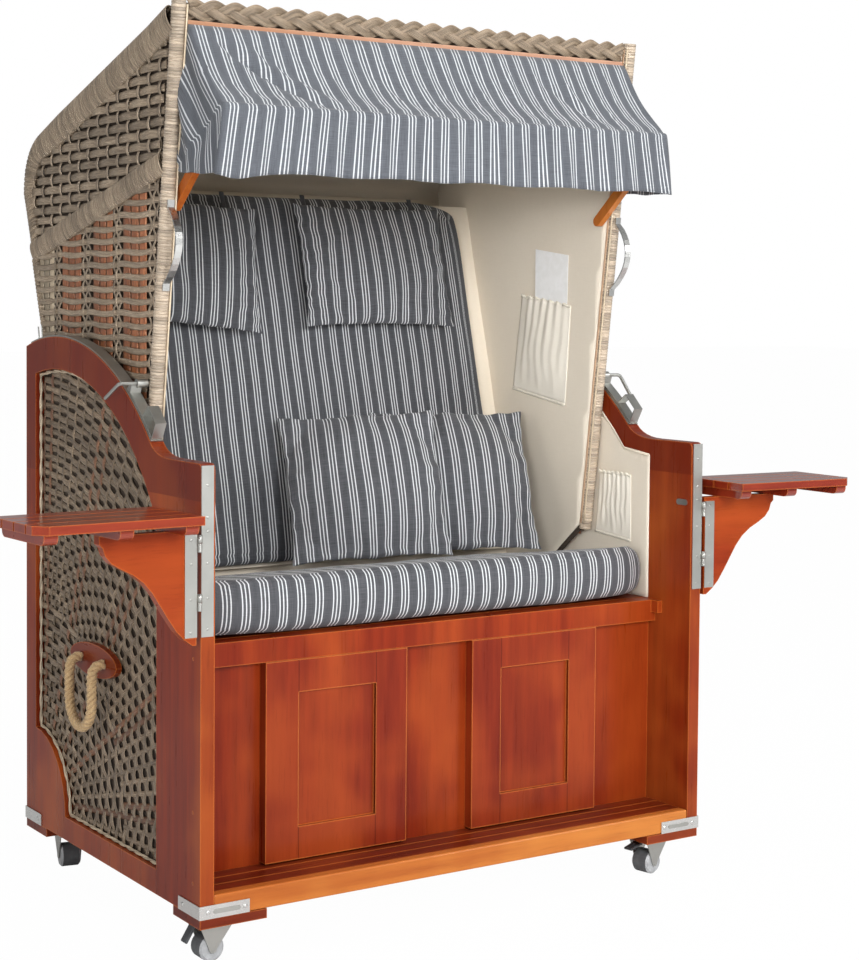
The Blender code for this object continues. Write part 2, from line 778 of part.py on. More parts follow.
FORK_HEAD_RADIUS = 0.019
FORK_HEAD_HEIGHT = 0.007
FORK_TOP_LENGTH = 0.042
FORK_TOP_THICK = 0.003
CHEEK_THICK = 0.002
CHEEK_GAP = 0.0012
AXLE_RADIUS = 0.003
AXLE_CLEARANCE = 0.0003
CHEEK_FOOT_RADIUS = 0.008
WHEEL_EDGE = 0.004
PEDAL_WIDTH = 0.022
PEDAL_THICK = 0.005
PEDAL_LENGTH = 0.034
PEDAL_KNUCKLE_RADIUS = 0.003
PEDAL_AXIS_OUT = 0.0529
PEDAL_AXIS_UP = 0.068
PEDAL_DROP_DEGS = {"front_left": 58.0, "front_right": 12.0}
CASTER_TURN_DEGS = {"front_left": 0.0, "front_right": 12.0, "rear_left": 79.0, "rear_right": 79.0}


def caster_fork(corner, sign, front):
    x, y = caster_place(sign, front)
    top = CASTER_HEIGHT - SEAM
    under = top - FORK_HEAD_HEIGHT
    reach = WHEEL_WIDTH / 2 + CHEEK_GAP
    outside = reach + CHEEK_THICK
    head = rod(f"caster_fork_{corner}", (x, y, under), (x, y, top), FORK_HEAD_RADIUS, steel())
    stem = rod(f"stem_{corner}", (x, y, under), (x, y, CASTER_HEIGHT + STEM_LENGTH), STEM_RADIUS, sides=12)
    axle_x = x - CASTER_TRAIL
    plate_low, plate_high = axle_x - FORK_TOP_LENGTH * 0.62, x + FORK_TOP_LENGTH * 0.45
    bridge = box(f"bridge_{corner}", (plate_low, y - outside, under - FORK_TOP_THICK),
                 (plate_high, y + outside, under + FORK_HEAD_HEIGHT / 4))
    cheeks = []
    for n, turn in enumerate((-1, 1)):
        ends = sorted((y + turn * reach, y + turn * outside))
        outline = [(plate_low, under - FORK_TOP_THICK / 2), (plate_high, under - FORK_TOP_THICK / 2)]
        outline += arc((axle_x, WHEEL_RADIUS), CHEEK_FOOT_RADIUS, 0, -180, 8)
        cheeks.append(slab(f"cheek_{corner}_{n}", outline, ACROSS_Y, ends[0], ends[1]))
    axle = rod(f"axle_{corner}", (axle_x, y - outside + CHEEK_THICK / 2, WHEEL_RADIUS),
               (axle_x, y + outside - CHEEK_THICK / 2, WHEEL_RADIUS), AXLE_RADIUS, sides=12)
    return joined(head, stem, bridge, *cheeks, axle)


def caster_wheel(corner, sign, front):
    x, y = caster_place(sign, front)
    axle_x = x - CASTER_TRAIL
    half = WHEEL_WIDTH / 2
    profile = (
        (AXLE_RADIUS + AXLE_CLEARANCE, half), (WHEEL_RADIUS - WHEEL_EDGE, half),
        (WHEEL_RADIUS, half - WHEEL_EDGE), (WHEEL_RADIUS, WHEEL_EDGE - half),
        (WHEEL_RADIUS - WHEEL_EDGE, -half), (AXLE_RADIUS + AXLE_CLEARANCE, -half),
    )
    shape = bmesh.new()
    verts = [shape.verts.new((radius, 0, height)) for radius, height in profile]
    for first, second in zip(verts, verts[1:] + verts[:1]):
        shape.edges.new((first, second))
    wheel = from_bmesh(f"caster_wheel_{corner}", shape, grey_plastic(), (axle_x, y, WHEEL_RADIUS),
                       (math.radians(90), 0, 0))
    turn = wheel.modifiers.new("turn", "SCREW")
    turn.steps = turn.render_steps = 24
    turn.use_merge_vertices = True
    turn.merge_threshold = 0.0001
    turn.use_smooth_shade = True
    return wheel


def pedal_axis(sign, front):
    x, y = caster_place(sign, front)
    return x - PEDAL_AXIS_OUT, y, PEDAL_AXIS_UP


def caster_pedal(corner, sign, front):
    """The brake pedal on the trailing side of a front caster."""
    pedal = box(f"caster_pedal_{corner}", (-PEDAL_LENGTH, -PEDAL_WIDTH / 2, -PEDAL_THICK / 2),
                (0, PEDAL_WIDTH / 2, PEDAL_THICK / 2), grey_plastic())
    pedal.data.transform(Matrix.Translation(pedal.location))
    pedal.location = pedal_axis(sign, front)
    pedal.rotation_euler = (0, -math.radians(PEDAL_DROP_DEGS[corner]), 0)
    x, y, z = pedal.location
    knuckle = rod(f"pedal_knuckle_{corner}", (x, y - PEDAL_WIDTH / 2, z), (x, y + PEDAL_WIDTH / 2, z),
                  PEDAL_KNUCKLE_RADIUS, sides=12)
    return joined(rounded(pedal, PEDAL_THICK / 3, 1), knuckle)


# Hood

CLOTH_THICK = 0.0025
LOBE_RADIUS = 0.05
RIM_RADIUS = 0.085
FRONT_RAIL_HEIGHT = 0.04
FRONT_RAIL_THICK = 0.026
BRAID_RADIUS = 0.02
BRAID_SINK = 0.003
AWNING_AXIS_BACK = 0.263
AWNING_AXIS_UP = 1.298
AWNING_PIN_RADIUS = 0.004
AWNING_PIN_REACH = 0.008


def front_line(height):
    """How far back the hood's front edge lies at a height."""
    return HOOD_FRONT_BACK + HOOD_FRONT_SLOPE * (HOOD_TOP - height)


def roof_up(distance):
    return HOOD_TOP - ROOF_SLOPE * (distance - HOOD_FRONT_BACK)


def rear_back(height):
    return REAR_TOP_BACK - REAR_SLOPE * (REAR_TOP_UP - height)


def rear_corner():
    """The rounded upper rear corner of the hood's outline, from the roof to the rear wall."""
    roof_end = (ROOF_END_BACK, roof_up(ROOF_END_BACK))
    rear_start = (REAR_TOP_BACK, REAR_TOP_UP)
    meet_back = (HOOD_TOP + ROOF_SLOPE * HOOD_FRONT_BACK - REAR_TOP_UP + REAR_TOP_BACK / REAR_SLOPE) / (
        ROOF_SLOPE + 1 / REAR_SLOPE)
    control = (meet_back, roof_up(meet_back))
    return bend(roof_end, control, rear_start, 6)


def world(points):
    return [(back(y), up(z)) for y, z in points]


def hood_side(side, sign):
    outline = world(
        [(front_line(HOOD_FOOT_UP), HOOD_FOOT_UP)]
        + arc((AXIS_BACK, AXIS_UP), LOBE_RADIUS, 236, 360, 8)
        + [(max(rear_back(HOOD_KINK_UP), AXIS_BACK), HOOD_KINK_UP)]
        + rear_corner()[::-1]
        + [(HOOD_FRONT_BACK, HOOD_TOP)]
    )
    outer, inner = sign * HOOD_OUTER, sign * HOOD_INNER
    wall = slab(f"hood_side_{side}", outline, ACROSS_X, inner, outer, wicker())
    roll_x = sign * (HOOD_OUTER - HOOD_WALL / 2)
    foot, head = HOOD_FOOT_UP - ROLL_END, HOOD_TOP + ROLL_END
    roll = rod(
        f"roll_{side}", (roll_x, back(front_line(foot)), up(foot)),
        (roll_x, back(front_line(head)), up(head)), ROLL_RADIUS, sides=16,
    )
    pin = rod(f"axis_pin_{side}", (outer - sign * HOOD_WALL / 2, *AXIS_YZ),
              (sign * (HALF - INSERT_RECESS - INSERT_THICK - SEAM * 3), *AXIS_YZ), PIN_RADIUS)
    x = inner - sign * CUT
    place = (back(AWNING_AXIS_BACK), up(AWNING_AXIS_UP))
    hole = rod(f"awning_hole_{side}", (x, *place), (inner + sign * (AWNING_PIN_REACH + SEAM), *place),
               AWNING_PIN_RADIUS + SEAM, sides=12)
    return cut(joined(wall, roll, pin), hole)


ROW_GAP = 0.0212
ROW_SINK = 0.0065
# Along one row of the weave: the share of the gap between rows, and the share of the depth it sinks to
ROW_SHARES = ((-0.3, 0), (0.3, 0), (0.42, 1), (0.58, 1))


def woven(line):
    """The line of a wall's outer face, with the rows of its weave as ribs."""
    runs = [math.dist(first, second) for first, second in zip(line, line[1:])]

    def at(distance, sink):
        for (first, second), run in zip(zip(line, line[1:]), runs):
            if distance <= run or second == line[-1]:
                slope = [(b - a) / run for a, b in zip(first, second)]
                return (first[0] + slope[0] * distance + slope[1] * sink,
                        first[1] + slope[1] * distance - slope[0] * sink)
            distance -= run

    points = [line[0]]
    for n in range(1, int(sum(runs) / ROW_GAP)):
        points += [at((n + share) * ROW_GAP, sink_share * ROW_SINK) for share, sink_share in ROW_SHARES]
    return points + [line[-1]]


def hood_roof():
    """The roof between the hood's sides, with the plaited edge along its front."""
    start = HOOD_FRONT_BACK + FRONT_RAIL_THICK + SEAM
    fall = SHELL_THICK * math.hypot(1, ROOF_SLOPE)
    corner = rear_corner()
    last = corner[-1]
    inset = SHELL_THICK * math.hypot(1, REAR_SLOPE)
    outline = world(
        woven([(start, roof_up(start))] + corner)
        + [(last[0] - inset, last[1]), (corner[0][0], corner[0][1] - fall), (start, roof_up(start) - fall)]
    )
    reach = HOOD_REACH
    roof = slab("hood_roof", outline, ACROSS_X, -reach, reach, wicker())
    braid_back = HOOD_FRONT_BACK + FRONT_RAIL_THICK - BRAID_RADIUS / 2
    braid_up = HOOD_TOP - BRAID_SINK - BRAID_RADIUS / 2
    braid = rod("braid", (-reach, back(braid_back), up(braid_up)), (reach, back(braid_back), up(braid_up)),
                BRAID_RADIUS, sides=12)
    return joined(roof, braid)


def hood_front_rail():
    high = HOOD_TOP - BRAID_SINK - BRAID_RADIUS * 1.5 - SEAM
    reach = HOOD_REACH - CLOTH_THICK * 2
    return box(
        "hood_front_rail", (-reach, back(HOOD_FRONT_BACK), up(high - FRONT_RAIL_HEIGHT)),
        (reach, back(HOOD_FRONT_BACK + FRONT_RAIL_THICK), up(high)), light_wood(),
    )


HOOD_REAR_FOOT_UP = 0.47


def hood_rear():
    inset = SHELL_THICK * math.hypot(1, REAR_SLOPE)
    top, low = REAR_TOP_UP - SEAM, HOOD_REAR_FOOT_UP
    outline = world(
        woven([(rear_back(top), top), (rear_back(low), low)])
        + [(rear_back(low) - inset, low), (rear_back(top) - inset, top)]
    )
    reach = HOOD_INNER - SEAM
    return slab("hood_rear", outline, ACROSS_X, -reach, reach, wicker())


BACK_CUSHION_THICK = 0.055
BACK_BOARD_THICK = 0.012
BACK_CUSHION_START = 0.012
NECK_HEIGHT = 0.292
NECK_THICK = 0.09
NECK_X = {"left": -0.312, "right": 0.177}
NECK_WIDTHS = {"left": 0.39, "right": 0.40}
NECK_SINKS = {"left": 0.0024, "right": 0.0013}
NECK_TILT_DEGS = {"left": 5.0, "right": 0.0}
NECK_RISE = 0.665


def back_place(across, rise, out):
    """A place on the leaning backrest: its height along the slope, and how far it stands out in front."""
    lean = math.radians(RECLINE_DEG)
    return (
        across,
        back(BACK_FOOT_BACK) + rise * math.sin(lean) - out * math.cos(lean),
        up(BACK_FOOT_UP) + rise * math.cos(lean) + out * math.sin(lean),
    )


def backrest():
    tilt = (-math.radians(RECLINE_DEG), 0, 0)
    length = BACK_LENGTH - BACK_CUSHION_START
    middle = BACK_CUSHION_START + length / 2
    cushion = soft_block("backrest_cushion", (BACK_WIDTH, length, BACK_CUSHION_THICK), (15, 13, 2),
                         stripes())
    cushion.data.transform(Matrix.Rotation(math.radians(90), 4, "X"))
    cushion.location = back_place(0, middle, -BACK_CUSHION_THICK / 2)
    cushion.rotation_euler = tilt
    reach = HOOD_INNER - SEAM
    board = box("backrest_board", (-reach, -BACK_BOARD_THICK / 2, -length / 2),
                (reach, BACK_BOARD_THICK / 2, length / 2), wood())
    board.location = back_place(0, middle, -BACK_CUSHION_THICK - SEAM - BACK_BOARD_THICK / 2)
    board.rotation_euler = tilt
    pieces = [cushion, board]
    for side, sign in SIDES:
        neck = pillow(f"neck_pillow_{side}", NECK_WIDTHS[side], NECK_HEIGHT, NECK_THICK, stripes(), 8)
        neck.data.transform(Matrix.Rotation(math.radians(NECK_TILT_DEGS[side]), 4, "Y"))
        neck.location = back_place(NECK_X[side], NECK_RISE, SEAM + NECK_THICK / 2 - NECK_SINKS[side])
        neck.rotation_euler = tilt
        pieces.append(neck)
    return pieces


HANDLE_LOW = 1.148
HANDLE_HIGH = 1.292
HANDLE_BOW = 0.045
HANDLE_WIDTH = 0.014
HANDLE_THICK = 0.003
HANDLE_FOOT = 0.014


def grab_handle(side, sign):
    """A bowed steel strap on the front of each roll."""
    def ahead(height, out):
        return (front_line(height) - ROLL_RADIUS - SEAM * 2 - out, height)

    steps = 12
    inner_side, outer_side = [], []
    for i in range(steps + 1):
        share = i / steps
        height = HANDLE_LOW + (HANDLE_HIGH - HANDLE_LOW) * share
        bow = HANDLE_BOW * math.sin(math.pi * share) ** 0.8 if 0 < i < steps else 0.0
        inner_side.append(ahead(height, bow))
        outer_side.append(ahead(height, bow + HANDLE_THICK))
    foot_low = [ahead(HANDLE_LOW - HANDLE_FOOT, HANDLE_THICK), ahead(HANDLE_LOW - HANDLE_FOOT, 0)]
    foot_high = [ahead(HANDLE_HIGH + HANDLE_FOOT, 0), ahead(HANDLE_HIGH + HANDLE_FOOT, HANDLE_THICK)]
    outline = world(foot_low + inner_side + foot_high + outer_side[::-1])
    middle = sign * (HOOD_OUTER - HOOD_WALL / 2)
    return slab(f"grab_handle_{side}", outline, ACROSS_X, middle - HANDLE_WIDTH / 2,
                middle + HANDLE_WIDTH / 2, steel())


LATCH_START_DEG = EDGE_END_DEG - 13.4
LATCH_END_DEG = EDGE_END_DEG - 0.2
LATCH_THICK = 0.004
LATCH_MARGIN = 0.003
LATCH_EAR_DEG = EDGE_END_DEG - 12.5
LATCH_EAR_RADIUS = 0.0085
LATCH_EAR_STAND = 0.0165
LUG_HALF_DEG = 0.7
LEVER_RADIUS = 0.0038
LEVER_OUT = 0.021
LEVER_LENGTH = 0.072
LEVER_DEGS = {"left": -25.5, "right": -131.0}
LEVER_BEND = 0.008
LOOP_START_DEG = EDGE_END_DEG - 5.8
LOOP_HEIGHT = 0.034
LOOP_THICK = 0.003
LATCH_RADIUS = EDGE_RADIUS + SEAM + RAIL_THICK + SEAM


def lever_place():
    return edge_point(LATCH_RADIUS + LATCH_THICK + LATCH_EAR_STAND, LATCH_EAR_DEG)


def latch_plate(side, sign):
    """The latch on the hood that grips the curved rail, with a strap loop to lift it by."""
    low, high = sorted((sign * (HALF - LATCH_MARGIN), sign * (HALF - PANEL_THICK + LATCH_MARGIN)))
    plate = arc_bar(f"latch_plate_{side}", LATCH_RADIUS, LATCH_THICK, LATCH_START_DEG, LATCH_END_DEG,
                    low, high, steel(), 7)
    inner_radius = LATCH_RADIUS + LATCH_THICK / 2
    foot = [edge_point(inner_radius, LOOP_START_DEG), edge_point(inner_radius, LATCH_END_DEG)]
    top = [
        edge_point(inner_radius + LOOP_HEIGHT, LATCH_END_DEG - 0.8),
        edge_point(inner_radius + LOOP_HEIGHT, LOOP_START_DEG + 0.8),
    ]
    ring = [foot[0], foot[1], *top]
    centre = (sum(y for y, _ in ring) / 4, sum(z for _, z in ring) / 4)
    size = math.dist(foot[0], foot[1]) / 2
    share = 1 - LOOP_THICK / size
    inner = [(centre[0] + (y - centre[0]) * share, centre[1] + (z - centre[1]) * share) for y, z in ring]
    loop = slab(f"latch_loop_{side}", ring, ACROSS_X, low, high, None, [inner])
    ear_end = sign * (HOOD_OUTER + SEAM)
    ear_start = sign * (HALF - PANEL_THICK / 2)
    ear = rod(f"latch_ear_{side}", (ear_start, *lever_place()), (ear_end, *lever_place()), LATCH_EAR_RADIUS)
    hole = rod(f"latch_bore_{side}", (ear_start + sign * CUT * 2, *lever_place()),
               (ear_end - sign * CUT, *lever_place()), LEVER_RADIUS + SEAM, sides=12)
    lug_reach = inner_radius + LATCH_EAR_STAND
    lug_corners = (
        (inner_radius, -LUG_HALF_DEG), (inner_radius, LUG_HALF_DEG), (lug_reach, LUG_HALF_DEG / 2),
        (lug_reach, -LUG_HALF_DEG / 2),
    )
    lug_outline = [edge_point(radius, LATCH_EAR_DEG + turn) for radius, turn in lug_corners]
    lug = slab(f"latch_lug_{side}", lug_outline, ACROSS_X, low, high)
    return cut(joined(plate, loop, lug, ear), hole)


def latch_lever(side, sign):
    """The bent rod that turns in the latch and locks it."""
    y, z = lever_place()
    out = sign * (HALF + LEVER_OUT)
    angle = math.radians(LEVER_DEGS[side])
    along = (math.cos(angle), math.sin(angle))
    points = [(sign * (HOOD_OUTER + SEAM), y, z)]
    for x_share, run_share in bend((1, 0), (0, 0), (0, 1), 4):
        points.append((out - sign * LEVER_BEND * x_share, y + along[0] * LEVER_BEND * run_share,
                       z + along[1] * LEVER_BEND * run_share))
    points.append((out, y + along[0] * LEVER_LENGTH, z + along[1] * LEVER_LENGTH))
    return tube(f"latch_lever_{side}", points, LEVER_RADIUS, steel())


# Awning

BOW_BACK = 0.06
BOW_UP = 1.465
BOW_RADIUS = 0.010
ARM_THICK = 0.014
ARM_WIDTH = 0.022
ARM_SLACK = 0.007


def awning_bow():
    """Two wooden arms that turn on the hood's sides, and the bar between their ends."""
    axis = (back(AWNING_AXIS_BACK), up(AWNING_AXIS_UP))
    end = (back(BOW_BACK), up(BOW_UP))
    run = Vector((0, end[0] - axis[0], end[1] - axis[1]))
    outside = HOOD_INNER - ARM_SLACK
    inside = outside - ARM_THICK
    bow = rod("awning_bow", (-outside + ARM_THICK / 2, *end), (outside - ARM_THICK / 2, *end), BOW_RADIUS,
              wood(), sides=12)
    pieces = []
    normal = Vector((0, -run.z, run.y)).normalized() * ARM_WIDTH / 2
    tilt = math.degrees(math.atan2(run.z, run.y))
    for side, sign in SIDES:
        outline = arc(axis, ARM_WIDTH / 2, tilt + 90, tilt + 270, 8)
        outline += arc(end, ARM_WIDTH / 2, tilt - 90, tilt + 90, 8)
        ends = sorted((sign * inside, sign * outside))
        pieces.append(slab(f"awning_arm_{side}", outline, ACROSS_X, ends[0], ends[1]))
        pieces.append(rod(f"awning_pin_{side}", (sign * (inside + ARM_THICK / 2), *axis),
                          (sign * (HOOD_INNER + AWNING_PIN_REACH), *axis), AWNING_PIN_RADIUS, sides=12))
    return joined(bow, *pieces)


CLOTH_TOP_UP = 1.632
CLOTH_FOOT_UP = 1.362
CLOTH_HEM_UP = 1.352
CLOTH_FLARE = 0.02
CLOTH_SAG = 0.012
CHEEK_START_SHARE = 0.12
CHEEK_COLUMNS = 6
TOP_COLUMNS = 40
FOLD_DEPTH = 0.007
FOLDS = 7


def lerp(a, b, share):
    return tuple(x + (y - x) * share for x, y in zip(a, b))


def awning_column(start, over, front, hem):
    """Points down one line of the cloth, from where it's sewn on, over the bow, to the hem."""
    middle = lerp(start, over, 0.5)
    sagging = (middle[0], middle[1], middle[2] - CLOTH_SAG)
    knee = (over[0], front[1], over[2])
    return bend(start, sagging, over, 4) + bend(over, knee, front, 2)[1:] + [
        lerp(front, hem, (i + 1) / 4) for i in range(4)
    ]


def awning_cloth():
    """The cloth from the hood's front rail over the bow to a hem, closed by a cheek at each end."""
    lift = ARM_WIDTH / 2 + SEAM * 5
    half = HOOD_REACH - CLOTH_THICK * 1.4
    sewn_back = HOOD_FRONT_BACK - SEAM * 2 - CLOTH_THICK
    columns = []
    foot_back = front_line(CLOTH_FOOT_UP) + CLOTH_THICK
    for side in (-1, 1):
        flared = side * (half + CLOTH_FLARE)
        foot = (side * half, foot_back, CLOTH_FOOT_UP)
        corner = (side * half, sewn_back, CLOTH_TOP_UP)
        over = (side * half, BOW_BACK, BOW_UP + lift)
        front = (side * half, BOW_BACK - lift, BOW_UP)
        hem = (flared, BOW_BACK - lift, CLOTH_HEM_UP)
        cheek = []
        for i in range(CHEEK_COLUMNS):
            share = CHEEK_START_SHARE + (1 - CHEEK_START_SHARE) * i / CHEEK_COLUMNS
            cheek.append(awning_column(*(lerp(foot, point, share) for point in (corner, over, front, hem))))
        if side < 0:
            columns += cheek
            for i in range(TOP_COLUMNS + 1):
                share = i / TOP_COLUMNS * 2 - 1
                wave = FOLD_DEPTH * (math.sin(share * math.pi * FOLDS) - 1) * (1 - share ** 8)
                columns.append(awning_column(
                    (share * half, sewn_back, CLOTH_TOP_UP),
                    (share * half, BOW_BACK, BOW_UP + lift),
                    (share * half, BOW_BACK - lift, BOW_UP),
                    (share * (half + CLOTH_FLARE), BOW_BACK - lift + wave, CLOTH_HEM_UP),
                ))
        else:
            columns += cheek[::-1]
    shape = bmesh.new()
    grid = [[shape.verts.new((x, back(y), up(z))) for x, y, z in column] for column in columns]
    for first, second in zip(grid, grid[1:]):
        for i in range(len(first) - 1):
            shape.faces.new((first[i], first[i + 1], second[i + 1], second[i]))
    cloth = from_bmesh("awning_cloth", shape, stripes())
    thick = cloth.modifiers.new("thickness", "SOLIDIFY")
    thick.thickness = CLOTH_THICK
    thick.offset = 1.0
    cloth.data.shade_smooth()
    return cloth


# Side tables

TABLE_SWUNG_DEG = 2.5
TABLE_GAP = 0.04
TABLE_LENGTH = 0.314
TABLE_CHAMFER = 0.022
TABLE_DEPTH = 0.19
TABLE_OVERHANG = 0.087
TABLE_TOP_UP = 0.742
SLAT_COUNT = 4
SLAT_THICK = 0.016
SLAT_GAP = 0.004
BATTEN_HEIGHT = 0.018
BATTEN_WIDTH = 0.026
BATTEN_SINK = 0.002
BATTEN_SHARES = (1 / 48, 11 / 24, 17 / 18)
BATTEN_MARGIN = 0.01
BATTEN_ROUND = 0.012
BRACKET_THICK = 0.02
BRACKET_REACH = 0.191
BRACKET_LOW = 0.50
BRACKET_SHARES = (
    (0, 0), (0.04, 0), (0.13, 0.06), (0.21, 0.135), (0.3, 0.255), (0.38, 0.37), (0.46, 0.485), (0.55, 0.58),
    (0.66, 0.655), (0.78, 0.71), (0.88, 0.765), (0.94, 0.83), (0.965, 0.9), (1, 0.93), (1, 1), (0, 1),
)
BRACKET_LEAF_WIDTH = 0.025
BRACKET_LEAF_HIGH = 0.70
TABLE_UNDER = TABLE_TOP_UP - SLAT_THICK - BATTEN_HEIGHT


def table_bracket(side, sign):
    """The curved wooden bracket that swings on the side panel, with its steel leaf."""
    x, y = table_axis(sign)
    start = x + sign * KNUCKLE_RADIUS
    height = TABLE_UNDER - SEAM - BRACKET_LOW
    outline = [
        (start + sign * BRACKET_REACH * across, up(BRACKET_LOW + height * rise))
        for across, rise in BRACKET_SHARES
    ]
    bracket = slab(f"table_bracket_{side}", outline, ACROSS_Y, BASE_FRONT, BASE_FRONT + BRACKET_THICK,
                   wood())
    ends = sorted((start + sign * SEAM, start + sign * BRACKET_LEAF_WIDTH))
    leaf = box(f"bracket_leaf_{side}", (ends[0], BASE_FRONT - SEAM - METAL_THICK, up(LEAF_LOW)),
               (ends[1], BASE_FRONT + SEAM * 2, up(BRACKET_LEAF_HIGH)))
    return joined(bracket, leaf, *knuckles(bracket.name, sign, 1, KNUCKLE_LENGTH + SEAM))


def fold_axis(sign):
    """A point on the axis that a table top folds down about, at the top rear edge of its bracket."""
    return Vector((sign * (HALF + TABLE_GAP), BASE_FRONT + BRACKET_THICK + SEAM, up(TABLE_UNDER - SEAM)))


def table_top(side, sign):
    start = HALF + TABLE_GAP
    ends = sorted((sign * start, sign * (start + TABLE_LENGTH)))
    front = BASE_FRONT - TABLE_OVERHANG
    pitch = (TABLE_DEPTH + SLAT_GAP) / SLAT_COUNT
    low, high = up(TABLE_TOP_UP - SLAT_THICK), up(TABLE_TOP_UP)
    slats = []
    for n in range(SLAT_COUNT):
        near = front + n * pitch
        slats.append(box(f"table_slat_{side}_{n}", (ends[0], near, low),
                         (ends[1], near + pitch - SLAT_GAP, high)))
    battens = []
    near, far = front + BATTEN_MARGIN, front + TABLE_DEPTH - BATTEN_MARGIN
    under = up(TABLE_UNDER)
    outline = [(far, low + BATTEN_SINK), (near, low + BATTEN_SINK)]
    outline += arc((near + BATTEN_ROUND, under + BATTEN_ROUND), BATTEN_ROUND, 180, 270, 4)
    outline += arc((far - BATTEN_ROUND, under + BATTEN_ROUND), BATTEN_ROUND, 270, 360, 4)
    for n, share in enumerate(BATTEN_SHARES):
        distance = (TABLE_LENGTH - BATTEN_WIDTH) * share
        across = sorted((sign * (start + distance), sign * (start + distance + BATTEN_WIDTH)))
        battens.append(slab(f"table_batten_{side}_{n}", outline, ACROSS_X, *across))
    top = slats.pop(0)
    top.name = f"table_top_{side}"
    top.data.materials.append(wood())
    corner = [
        (sign * (start + TABLE_LENGTH - TABLE_CHAMFER - CUT), front - CUT),
        (sign * (start + TABLE_LENGTH + CUT), front - CUT),
        (sign * (start + TABLE_LENGTH + CUT), front + TABLE_CHAMFER + CUT),
    ]
    chamfer = slab(f"table_chamfer_{side}", corner, ACROSS_Z, low - CUT, high + CUT)
    return cut(joined(top, *battens, *slats), chamfer)


# Footrests

def footrest(side, sign):
    """A stool that slides out of the base: a framed front on a board box that is open below and behind."""
    centre = sign * FOOTREST_X
    face = back(RECESS_DEPTH - FOOTREST_PROUD)
    behind = back(RECESS_DEPTH) - SEAM
    half = FOOTREST_WIDTH / 2
    front = box(f"footrest_{side}", (centre - half, face, up(FOOTREST_LOW)),
                (centre + half, behind, up(FOOTREST_HIGH)), light_wood())
    field = box(
        f"footrest_field_{side}",
        (centre - half + FIELD_MARGIN_SIDE, face - CUT, up(FOOTREST_LOW + FIELD_MARGIN_END)),
        (centre + half - FIELD_MARGIN_SIDE, face + FIELD_DEPTH, up(FOOTREST_HIGH - FIELD_MARGIN_END)),
    )
    reach = half - FOOTREST_LAP - FOOTREST_SLACK
    end = behind + FOOTREST_LENGTH
    start = behind - FOOTREST_PROUD / 3
    foot = up(FOOTREST_LOW)
    top = box(f"footrest_top_{side}", (centre - reach, start, up(FOOTREST_BOX_TOP - FOOTREST_BOARD)),
              (centre + reach, end, up(FOOTREST_BOX_TOP)))
    runners = []
    for n, turn in enumerate((-1, 1)):
        across = sorted((centre + turn * reach, centre + turn * (reach - FOOTREST_BOARD)))
        runners.append(box(f"footrest_side_{side}_{n}", (across[0], start, foot),
                           (across[1], end, up(FOOTREST_BOX_TOP - FOOTREST_BOARD / 2))))
    return cut(joined(front, top, *runners), field)


def build_base():
    for side, sign in SIDES:
        side_panel(side, sign)
        side_wicker(side, sign)
        side_lining(side, sign)
        hinge_leaf(side, sign)
        recline_rail(side, sign)
        handle_plate(side, sign)
        rope_handle(side, sign)
    base_floor()
    plinth_rail()
    rear_panel()
    seat_front()
    seat_board()
    seat_cushion()
    loose_pillows()
    for corner, sign, front in CORNERS:
        corner_bracket(corner, sign, front)


def build_hood():
    axis = axis_empty("hood_axis", (0, *AXIS_YZ))
    pieces = [hood_roof(), hood_rear(), hood_front_rail(), *backrest()]
    levers = []
    for side, sign in SIDES:
        pieces += [hood_side(side, sign), grab_handle(side, sign), latch_plate(side, sign)]
        lever_axis = axis_empty(f"latch_axis_{side}", (sign * HALF, *lever_place()))
        hang_on(lever_axis, latch_lever(side, sign))
        levers.append(lever_axis)
    awning_axis = axis_empty("awning_axis", (0, back(AWNING_AXIS_BACK), up(AWNING_AXIS_UP)))
    hang_on(awning_axis, awning_bow(), awning_cloth())
    hang_on(axis, *pieces, *levers, awning_axis)


def build_moving_base():
    for side, sign in SIDES:
        x, y = table_axis(sign)
        swing = axis_empty(f"table_axis_{side}", (x, y, up(BRACKET_LOW)))
        fold = axis_empty(f"fold_axis_{side}", fold_axis(sign))
        hang_on(fold, table_top(side, sign))
        hang_on(swing, table_bracket(side, sign), fold)
        swing.rotation_euler = (0, 0, -sign * math.radians(TABLE_SWUNG_DEG))
        runner = axis_empty(f"footrest_runner_{side}", (sign * FOOTREST_X, BASE_FRONT, up(FLOOR_THICK)))
        hang_on(runner, footrest(side, sign))
    for corner, sign, front in CORNERS:
        x, y = caster_place(sign, front)
        swivel = axis_empty(f"swivel_axis_{corner}", (x, y, CASTER_HEIGHT))
        hang_on(swivel, caster_fork(corner, sign, front), caster_wheel(corner, sign, front))
        if corner in PEDAL_DROP_DEGS:
            hang_on(swivel, caster_pedal(corner, sign, front))
        swivel.rotation_euler = (0, 0, math.radians(CASTER_TURN_DEGS[corner]))


reset_scene()
build_base()
build_hood()
build_moving_base()
bpy.context.view_layer.update()
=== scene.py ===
"""The looks of a two-seat hooded beach chair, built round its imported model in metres."""
import math

import bmesh
import bpy
import mathutils
import numpy as np
from mathutils import Matrix, Vector, noise


